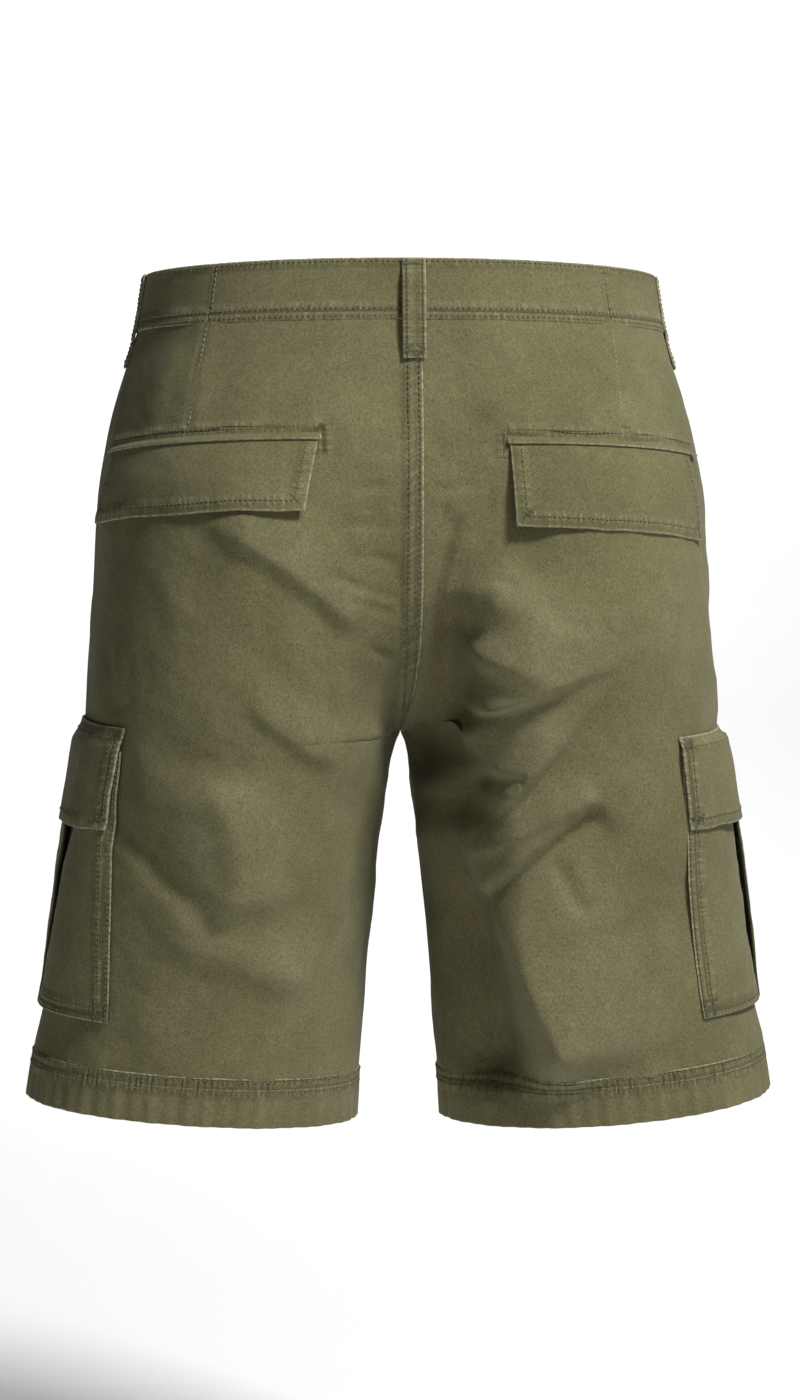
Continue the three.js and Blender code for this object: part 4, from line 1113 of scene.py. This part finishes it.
# inner and outer are the pocket's ends as distances from the seat seam, top and outer_top their levels.
# The flap's outer edge and depth go from the first number to the second, its inner edge slants, its
# inner corner curls up and its lower edge stands up.
BACK_POCKETS = (
    {"word": "left", "side": LEFT, "inner": 53, "outer": 204, "top": -96.5, "outer_top": -103,
     "flap_outer": (194, 226), "low": (40, 39.5), "slant": 9, "curl": 1.6, "stand": 0.9},
    {"word": "right", "side": RIGHT, "inner": 52, "outer": 194, "top": -98.8, "outer_top": -105,
     "flap_outer": (181, 195), "low": (46, 49), "slant": 4, "curl": 5.0, "stand": -0.2},
)
WELT_DEPTH = 6.4
BAR_ROWS = (-3.0, -0.9)  # the two rows beside a pocket's inner end
BAR_LENGTH = 15
FLAP_ROW = 5.6


def bow(u):
    """How much higher a pocket's line runs at its middle than at its ends."""
    return 6 * u * (1 - u)


class SHORTS_OT_back_pockets(Operator):
    """Build the welts and flaps of the back pockets"""

    bl_idname = "shorts.back_pockets"
    bl_label = "Back pockets"

    def execute(self, context):
        for pocket in BACK_POCKETS:
            self.welt(pocket)
            self.flap(pocket)
        return {"FINISHED"}

    def welt(self, p):
        """A folded strip, flush where it is sewn and standing up at its lower lip."""
        side, name = p["side"], f"back_welt_{p['word']}"
        length = p["outer"] - p["inner"]
        lines, v = edged(length, 2.0, 0.8) / length, edged(WELT_DEPTH, 0.7, 0.8)
        u, down = np.meshgrid(lines, v, indexing="ij")
        d = mix(p["inner"], p["outer"], u)
        z = mix(p["top"], p["outer_top"], u) + bow(u) - down
        place, out, _ = cloth(side, BACK, d, z)
        edge = np.minimum(np.minimum(u, 1 - u) * length, np.minimum(down, WELT_DEPTH - down))
        lip = smooth((down - 1.5) / 4)
        thick = mix(0.9, 1.3, lip) * rounded(edge, 0.8)
        middle = mix(0.25, 3.1, lip) + 0.1 * crumple(d, z, 31, near=6, far=20)
        values = marks(np.where(down > 3, edge, 3) + 0.1, 0.0, (down + 1.0, d))
        obj, _ = layered(name, place, out, middle, thick, d, z, values)
        u = np.linspace(-0.01, 1, 120)
        line = mix(p["top"], p["outer_top"], u) + bow(clamp01(u)) + 1.8
        sew_on("back_pocket", side, BACK, mix(p["inner"], p["outer"], u), line, 0.6, pitch=2.5, long=1.9)
        level = np.linspace(p["top"] + 1, p["top"] - BAR_LENGTH, 16)
        for off in BAR_ROWS:
            d = np.full(16, p["inner"] + off)
            sew_on("back_pocket", side, BACK, d, level, 0.1, pitch=2.3, long=1.9)

    def flap(self, p):
        """The flap from under the welt's lip, crinkled between its edge and its stitch row."""
        side, name = p["side"], f"back_flap_{p['word']}"
        top, tuck = WELT_DEPTH - 3.0, 3.3
        width = p["flap_outer"][0] - p["inner"]
        height = p["low"][0] + tuck
        lines, v = edged(width, 1.7, 0.9) / width, edged(height, 1.6, 0.9, (False, True)) / height
        u, w = np.meshgrid(lines, v, indexing="ij")
        outer = mix(*p["flap_outer"], w)
        d = mix(p["inner"] + 1 + p["slant"] * w, outer, u)
        fall = mix(*p["low"], u) + tuck
        part = (d - p["inner"]) / (p["outer"] - p["inner"])
        wavy = 0.55 * crumple(d, 0 * d, 71 + side, near=12, far=50) * w**3
        z = mix(p["top"], p["outer_top"], part) + bow(clamp01(part)) - top - fall * w + wavy
        place, out, _ = cloth(side, BACK, d, z)
        sides = np.minimum(u, 1 - u) * width
        below = (1 - w) * fall
        edge = np.minimum(sides, below)
        zone = smooth((6.5 - edge) / 3)
        across = np.where(sides < below, z, d)
        crinkle = 0.26 * crumple(across, 0.25 * edge, 41 + side, near=3.6, far=9) * zone
        soft = 0.34 * crumple(d, z, 43 + side, near=12, far=50)
        lift = 0.55 + 1.3 * np.sin(np.pi * w) + p["curl"] * w * w * (1 - u) ** 4 + p["stand"] * w**3
        thick = 1.5 * rounded(edge, 0.9)
        middle = lift + 0.75 + (crinkle + soft) * smooth(w * 4)
        row = edge - FLAP_ROW, np.where(sides < below, z - 500, d)
        # Painted shade in the flap's crinkles and dips, painted highlight on its bumps.
        values = marks(edge, np.clip(-(crinkle + soft), -1, 1), row)
        obj, face = layered(name, place, out, middle, thick, d, z, values)
        i, j = nearest(lines * width, FLAP_ROW), nearest((1 - v) * height, FLAP_ROW)
        k = len(lines) - 1 - i
        for path in ((i, slice(4, j + 1)), (slice(i, k + 1), j), (k, slice(4, j + 1))):
            sew("back_pocket", face[path], out[path], pitch=2.8)


# Cargo pockets

POCKET = {"top": -280, "low": -436, "sheet": 0.85, "under": 0.95, "between": 1.25, "tuck": 13, "edge": 1.2}
UPPER = POCKET["under"] + 2 * POCKET["between"]
EDGE_ROWS = (1.7, 8.0)  # rows along the pockets' sides, then along their lower edge
LOW_ROWS = (1.8, 8.0)
SEWN_DOWN = 30  # this many columns from each side of a pocket's sheet lie by its sewn edge
CARGO_FLAP = {"low": -326, "thick": 1.5, "over": 1.5, "width": 166.0}
FLAP_ROWS = {"top": 5.6, "edge": 2.0, "inner": 7.0, "low": 6.0}

# Across the pockets, as distances from the side seam, negative towards the back, at these levels.
# gap is half the pleat's opening, puff how far the rear part stands up and lip the front fold.
CARGO_LEVELS = (-280, -328, -356, -392, -436)
CARGO = (
    {
        "word": "left", "side": LEFT,
        "rear": (-83, -79, -80, -81, -84),
        "pleat": (-40, -27, -16, -10, -6),
        "front": (78, 79, 79, 79, 80),
        "gap": (4.0, 7.0, 3.5, 1.2, 0.6),
        "puff": (1.5, 4.0, 5.0, 4.0, 0.4),
        "lip": (0.6, 2.0, 2.4, 1.8, 0.3),
        "flap_rear": (-85.5, -74.5), "flap_top": (-266.5, -264.0, -266.0),
    },
    {
        "word": "right", "side": RIGHT,
        "rear": (-96, -92, -91.5, -88.5, -84.5),
        "pleat": (-30, -24, -21, -18, -13),
        "front": (66, 68, 70, 72, 74),
        "gap": (3.0, 6.0, 6.2, 4.6, 1.0),
        "puff": (1.2, 2.0, 2.4, 2.2, 0.4),
        "lip": (0.8, 3.6, 4.2, 3.8, 0.6),
        "flap_rear": (-98.5, -91.5), "flap_top": (-272.5, -270.0, -269.0),
    },
)


def cargo(p, name, z):
    """A column of a pocket's table at level z."""
    return np.interp(-np.asarray(z, float), -np.array(CARGO_LEVELS, float), p[name])


def pocket_top(q, puff):
    """Height of the pocket's top layer at a share q from its sewn edge to the pleat."""
    q = clamp01(q)
    return mix(POCKET["edge"], UPPER, smooth(q * 1.15) * 0.9 + 0.1 * q) + puff * np.sin(np.pi * q**0.87)


def pocket_half_line(gap, puff, lip):
    """Half the sheet from a pocket's edge to the middle of its pleat: share of the way across, a
    shift towards the edge, and height. It climbs, turns under its fold and runs below it."""
    low, between, tuck = POCKET["under"], POCKET["between"], POCKET["tuck"]
    r = between / 2
    shares = np.concatenate([np.linspace(0, 0.62, 28), np.linspace(0.66, 0.97, 12)])
    top = [(q, 0, pocket_top(q, puff) + lip * smooth(q)) for q in shares]
    fold = [(1, gap + r - r * np.sin(a), UPPER + lip - r + r * np.cos(a)) for a in np.linspace(0, np.pi, 8)]
    back = [(1, gap + r + k, low + between + lip * (1 - k / tuck)) for k in np.linspace(2, tuck - r, 5)]
    turn = [(1, gap + tuck + r * np.sin(a), low + r + r * np.cos(a)) for a in np.linspace(0.2, np.pi, 7)]
    under = [(1, (gap + tuck) * k, low) for k in (0.8, 0.55, 0.3, 0.1)]
    return top + fold + back + turn + under


class SHORTS_OT_cargo_pockets(Operator):
    """Build the pleated side pockets and their flaps"""

    bl_idname = "shorts.cargo_pockets"
    bl_label = "Cargo pockets"

    def execute(self, context):
        for pocket in CARGO:
            self.pocket(pocket)
            self.flap(pocket)
        return {"FINISHED"}

    def line(self, p, z):
        """The pocket sheet's line across, at levels z: places from the side seam, and heights."""
        names = "rear", "pleat", "front", "gap", "puff", "lip"
        rear, pleat, front, gap, puff, lip = (cargo(p, name, z) for name in names)
        gap = gap * (1 + 0.16 * np.sin(z / 5.3) + 0.12 * np.sin(z / 8.7 + 1))
        halves = []
        for edge, way, swell, raised in ((rear, -1, puff, 0 * lip), (front, 1, 0.4 * puff, lip)):
            rows = [[k + 0 * z for k in row] for row in pocket_half_line(gap, swell, raised)]
            q, shift, height = np.moveaxis(np.array(rows), 1, 0)
            fold = pleat[None] + way * (gap + POCKET["between"] / 2) * (q < 1)
            halves.append((mix(edge[None], fold, q) + way * shift, height))
        (a, low), (b, high) = halves
        return np.concatenate([a, b[::-1]]), np.concatenate([low, high[::-1]])

    def pocket(self, p):
        """One sheet folded into an inverted pleat, sewn down at its edges."""
        side, name = p["side"], f"cargo_pocket_{p['word']}"
        depth = POCKET["top"] - POCKET["low"]
        v = edged(depth, 2.0, 0.8, (False, True))
        z = POCKET["top"] - v
        a, height = self.line(p, z)
        z = np.broadcast_to(z, a.shape)
        count = len(a)
        outer = np.minimum(np.arange(count), count - 1 - np.arange(count))[:, None] + 0 * a
        rear, front = cargo(p, "rear", z), cargo(p, "front", z)
        sides = np.minimum(a - rear, front - a)
        below = z - POCKET["low"]
        loose = smooth(sides / 14) * smooth((below - 2) / 16)
        on_top = outer < 42
        soft = 0.9 * crumple(a, z, 91 + side, near=18, far=70)
        soft = soft + 0.25 * crumple(a, z, 95 + side, near=7, far=16)
        height = height + np.where(on_top, soft, soft * 0.4) * loose * 0.55
        da, dh = np.gradient(a, axis=0), np.gradient(height, axis=0)
        size = np.hypot(da, dh)
        sewn = outer < SEWN_DOWN
        to_edge = np.minimum(np.abs(sides), below)
        half_sheet = POCKET["sheet"] / 2 * rounded(np.minimum(np.where(sewn, to_edge, 9.0), below), 0.8)
        layers = []
        for way in (1, -1):
            x = a - dh / size * half_sheet * way
            h = height + da / size * half_sheet * way
            half, d = beside(x, z)
            place, out, _ = cloth(side, half, d, z)
            layers.append(place + out * h[..., None])
        face, lining = layers
        run = running(np.hypot(np.diff(a, axis=0), np.diff(height, axis=0)), 0)
        rows = [(np.where(sewn, np.abs(sides) - k, FAR), z + 300 * n) for n, k in enumerate(EDGE_ROWS)]
        rows += [(below - k, a + 600 + 300 * n) for n, k in enumerate(LOW_ROWS)]
        on_fold = np.abs(outer - 38.5) < 1.5
        edge = np.where(sewn, to_edge, np.where(on_fold, 0.8, 9))
        # The pleat's inner layers get a large hollow value, which paints them near-black shade; elsewhere
        # the pocket takes painted shade in its dips and painted highlight on its bulges.
        inside_pleat = smooth((outer - 40) / 3)
        values = marks(edge, np.clip(-soft * 0.6, -1, 1) + 4 * inside_pleat, *rows)
        obj = finish_piece(wall(name, face, lining, run, z, values), name)
        half, d = beside(a, z)
        out = cloth(side, half, d, z)[1]
        bottom = [nearest(v, depth - k) for k in LOW_ROWS]
        for inset in EDGE_ROWS:
            for columns in (slice(0, SEWN_DOWN), slice(count - SEWN_DOWN, count)):
                offset = np.abs(sides[columns] - inset)
                pick = np.argmin(offset, 0) + columns.start
                rows = np.arange(bottom[0] + 1)
                sew("cargo", face[pick[rows], rows], out[pick[rows], rows])
        for k in bottom:
            for columns in (slice(2, 36), slice(count - 36, count - 2)):
                sew("cargo", face[columns, k], out[columns, k])

    def flap(self, p):
        """The flap over the pocket's mouth, crinkled along its edges, over the open pleat."""
        side, name = p["side"], f"cargo_flap_{p['word']}"
        depth = p["flap_top"][1] - CARGO_FLAP["low"]
        v = edged(depth, 1.7, 0.9)
        u = edged(CARGO_FLAP["width"], 1.9, 0.9) / CARGO_FLAP["width"]
        share, down = np.meshgrid(u, v, indexing="ij")
        top = np.interp(share, (0, 0.5, 1), p["flap_top"])
        z = mix(top, CARGO_FLAP["low"], down / depth)
        body = np.minimum(z, POCKET["top"])
        rear, pleat, front, puff = (cargo(p, n, body) for n in ("rear", "pleat", "front", "puff"))
        first, last = mix(*p["flap_rear"], down / depth), front + CARGO_FLAP["over"]
        a = mix(first, last, share)
        width = last - first
        wavy = 0.6 * crumple(a, 0 * a, 61 + side, near=14, far=60) * (down / depth) ** 3
        z = z + wavy
        q = np.where(a < pleat, (a - rear) / (pleat - rear), (front - a) / (front - pleat))
        swell = np.where(a < pleat, puff, 0.4 * puff)
        under = pocket_top(q, swell) + POCKET["sheet"] / 2 + cargo(p, "lip", body) * smooth(q)
        over = smooth((top - z - 0.8) / (top - POCKET["top"] - 1.6))
        sides = np.minimum(share, 1 - share) * width
        below, above = depth - down, down
        edge = np.minimum(np.minimum(sides, below), above)
        zone = smooth((7.5 - np.minimum(np.minimum(sides, below), above + 1)) / 3)
        across = np.where((sides < below) & (sides < above), z, a)
        crinkle = 0.24 * crumple(across, 0.25 * edge, 51 + side, near=3.6, far=9) * zone
        soft = 0.45 * crumple(a, z, 53 + side, near=16, far=60)
        lift = mix(0.25, under + 0.4, over) + 0.7 * np.sin(np.pi * clamp01(down / depth))
        lift = lift + 0.5 * (down / depth) ** 4
        half, d = beside(a, z)
        place, out, _ = cloth(side, half, d, z)
        thick = CARGO_FLAP["thick"] * rounded(edge, 0.9)
        middle = lift + CARGO_FLAP["thick"] / 2 + (crinkle + soft * over)
        # Painted shade in the flap's crinkles and dips, painted highlight on its bumps.
        values = marks(
            edge, np.clip(-(crinkle + soft), -1, 1),
            (above - FLAP_ROWS["top"], a), (sides - FLAP_ROWS["edge"], z - 300),
            (sides - FLAP_ROWS["inner"], z - 600), (below - FLAP_ROWS["low"], a + 900),
        )
        obj, face = layered(name, place, out, middle, thick, a, z, values)
        end = len(u) - 1
        first, second = (nearest(u * CARGO_FLAP["width"], FLAP_ROWS[k]) for k in ("edge", "inner"))
        upper, lower = nearest(v, FLAP_ROWS["top"]), nearest(v, depth - FLAP_ROWS["low"])
        rows = slice(upper, lower + 1)
        for i in (first, end - first, second, end - second):
            sew("cargo", face[i, rows], out[i, rows])
        columns = slice(first, end - first + 1)
        for j in (upper, lower):
            sew("cargo", face[columns, j], out[columns, j])


class SHORTS_OT_stitches(Operator):
    """Turn the stitch rows into thread"""

    bl_idname = "shorts.stitches"
    bl_label = "Stitching"

    def execute(self, context):
        for name, group in STITCHES.items():
            finish = "pale_thread" if name == "dart_and_join" else "thread"
            stitch_object(f"{name}_stitches", group, finish)
        return {"FINISHED"}


# Stage

FLOOR_Z = -0.82


class SHORTS_OT_stage(Operator):
    """Build the floor, the studio light and the camera at the photograph's angle"""

    bl_idname = "shorts.stage"
    bl_label = "Stage"

    def execute(self, context):
        look = context.scene.shorts_look
        self.floor(look)
        self.light(look)
        self.camera()
        return {"FINISHED"}

    def floor(self, look):
        """A pale sheet: flat below, swept up behind in a large curve."""
        x = np.linspace(-9, 9, 3)
        turn = np.linspace(0, np.pi / 2, 24)
        y = np.concatenate([[9.0], -3.0 - 3 * np.sin(turn), [-6.0]])
        z = np.concatenate([[0.0], 3 - 3 * np.cos(turn), [9.0]]) + FLOOR_Z
        points = np.stack(np.broadcast_arrays(x[:, None], y[None], z[None]), -1).reshape(-1, 3)
        rows = len(y)
        i, j = (a.ravel() for a in np.meshgrid(np.arange(2), np.arange(rows - 1), indexing="ij"))
        quads = np.stack([i * rows + j, i * rows + j + 1, (i + 1) * rows + j + 1, (i + 1) * rows + j], -1)
        mesh = bpy.data.meshes.new("studio_floor")
        mesh.from_pydata(points.tolist(), [], quads.tolist())
        mesh.polygons.foreach_set("use_smooth", np.ones(len(quads), bool))
        floor = bpy.data.objects.new("studio_floor", mesh)
        bpy.context.collection.objects.link(floor)
        material, s, place = new_material("pale_paper", 0.9)
        tone = place.noise(3.0, 3.0) * 0.02 + look.floor_tone
        colour = s.node("ShaderNodeCombineColor", Red=tone, Green=tone, Blue=tone)
        mesh.materials.append(feed(material, colour))

    def light(self, look):
        """A key high to the right of the camera, a large weak fill under it, one lamp beyond the shorts,
        one for the backdrop, and an even surround."""
        scene = bpy.context.scene
        world = bpy.data.worlds.new("studio") if scene.world is None else scene.world
        scene.world = world
        world.use_nodes = True
        world.node_tree.nodes["Background"].inputs["Color"].default_value = (1, 1, 1, 1)
        world.node_tree.nodes["Background"].inputs["Strength"].default_value = look.surround
        scene.view_settings.view_transform = "Standard"
        middle = (0, 0, -0.25)
        for name, place, target, size, energy in (
            ("key", (-1.3, 1.7, 2.2), middle, (0.6, 0.6), look.key),
            ("fill", (-1.4, 2.4, 0.5), middle, (2.0, 2.0), look.fill),
            ("far_side", (-0.6, -2.2, 1.4), (0, -0.5, -0.6), (2.2, 2.2), 14 * look.fill),
            ("backdrop", (0, -3.6, 2.4), (0, -5.4, -0.2), (3.2, 1.2), look.backdrop),
        ):
            data = bpy.data.lights.new(name, "AREA")
            data.shape = "RECTANGLE"
            data.size, data.size_y = size
            data.energy = energy
            lamp = bpy.data.objects.new(name, data)
            lamp.location = place
            aim = Vector(target) - Vector(place)
            lamp.rotation_euler = aim.to_track_quat("-Z", "Y").to_euler()
            bpy.context.collection.objects.link(lamp)

    def camera(self):
        """The photograph's view: 2 m off, four degrees round from straight behind, slightly above."""
        azimuth, elevation, distance = np.radians(176), np.radians(3.3), 2.0
        focal_length, photo_height = 3333, 1400  # both in the photograph's pixels
        back = np.array([
            np.sin(azimuth) * np.cos(elevation), -np.cos(azimuth) * np.cos(elevation), np.sin(elevation),
        ])
        aim = np.array([0, 0, -0.256])
        place = aim + distance * back
        right = unit(np.cross([0, 0, 1.0], back))
        up = np.cross(back, right)
        data = bpy.data.cameras.new("photo_camera")
        data.sensor_width = 36
        data.lens = focal_length / photo_height * data.sensor_width
        data.clip_end = 50
        camera = bpy.data.objects.new("photo_camera", data)
        turn = Matrix([[*row] for row in np.stack([right, up, back], 1)]).to_4x4()
        camera.matrix_world = Matrix.Translation(Vector(place)) @ turn
        bpy.context.collection.objects.link(camera)
        bpy.context.scene.camera = camera


# Settings and panel


def colour_setting(name, description, default):
    words = {"name": name, "description": description}
    return FloatVectorProperty(**words, subtype="COLOR", size=3, min=0, max=1, default=default)


def share_setting(name, description, default, high=1.0):
    words = {"name": name, "description": description}
    return FloatProperty(**words, subtype="FACTOR", min=0, max=high, default=default)


def power_setting(name, description, default):
    words = {"name": name, "description": description}
    return FloatProperty(**words, subtype="POWER", min=0, default=default)


class ShortsLook(PropertyGroup):
    """Colours and amounts of the finishes, and the strength of the light"""

    cloth: colour_setting("Cloth", "Dye of the washed twill", (0.140, 0.130, 0.062))
    # Dark cloth: the deep dye of the mottle, and the colour of painted shade between puckers, in stitch
    # grooves and, darkened further, inside the pleats.
    dark_dye_and_shade: colour_setting("Dark cloth", "Dye where it has stayed deep", (0.098, 0.092, 0.040))
    # Brown cloth: the colour of random brown dye patches, and of the painted shade in the hollows.
    brown_dye_and_shade: colour_setting("Brown cloth", "Dye in the hollows, browned", (0.122, 0.103, 0.054))
    # Light cloth: the colour of random pale dye patches, and of the painted highlight on raised folds.
    light_dye_and_highlight: colour_setting("Light cloth", "Dye rubbed a little on the folds", (0.195, 0.182, 0.105))
    cloth_worn: colour_setting("Worn cloth", "Bare yarn on the rubbed edges", (0.34, 0.32, 0.21))
    thread: colour_setting("Thread", "Sewing thread", (0.200, 0.190, 0.105))
    pale_thread: colour_setting("Pale thread", "Thread of darts and band joins", (0.44, 0.43, 0.31))
    button: colour_setting("Button", "Horn-like button", (0.040, 0.032, 0.020))
    # Mottle also scales the painted highlight on raised folds.
    mottle: share_setting("Mottle", "How uneven the dye is", 0.6)
    # Brown scales both the brown dye patches and the painted shade in the hollows.
    brown: share_setting("Brown", "How brown the hollows are", 0.5)
    wear: share_setting("Wear", "How rubbed the edges and puckers are", 0.75)
    grain: share_setting("Grain", "How much single yarns differ", 1.5, 3.0)
    sheen: share_setting("Sheen", "Soft light on the cloth's nap", 0.04)
    floor_tone: share_setting("Floor", "How light the floor is", 0.86)
    key: power_setting("Key light", "Power of the main light", 140)
    fill: power_setting("Fill light", "Power of the weak lights", 2.5)
    backdrop: power_setting("Backdrop light", "Power of its light", 95)
    surround: FloatProperty(name="Surround", description="Strength of the even light", default=0.05, min=0)


class SHORTS_PT_panel(Panel):
    """Lists the shorts' pieces and finishes"""

    bl_idname = "SHORTS_PT_panel"
    bl_label = "Cargo shorts"
    bl_space_type = "VIEW_3D"
    bl_region_type = "UI"
    bl_category = "Shorts"

    def draw(self, context):
        for step in STEPS:
            self.layout.operator(step.bl_idname, text=step.bl_label)
        for name in ShortsLook.__annotations__:
            self.layout.prop(context.scene.shorts_look, name)


STEPS = (
    SHORTS_OT_stage,
    SHORTS_OT_panels,
    SHORTS_OT_hems,
    SHORTS_OT_band,
    SHORTS_OT_loops,
    SHORTS_OT_back_pockets,
    SHORTS_OT_cargo_pockets,
    SHORTS_OT_stitches,
)
CLASSES = (ShortsLook, *STEPS, SHORTS_PT_panel)


def register():
    for cls in CLASSES:
        bpy.utils.register_class(cls)
    bpy.types.Scene.shorts_look = PointerProperty(type=ShortsLook)


def unregister():
    del bpy.types.Scene.shorts_look
    for cls in reversed(CLASSES):
        bpy.utils.unregister_class(cls)


def main():
    register()
    for step in STEPS:
        family, name = step.bl_idname.split(".")
        getattr(getattr(bpy.ops, family), name)()


if __name__ == "__main__":
    main()
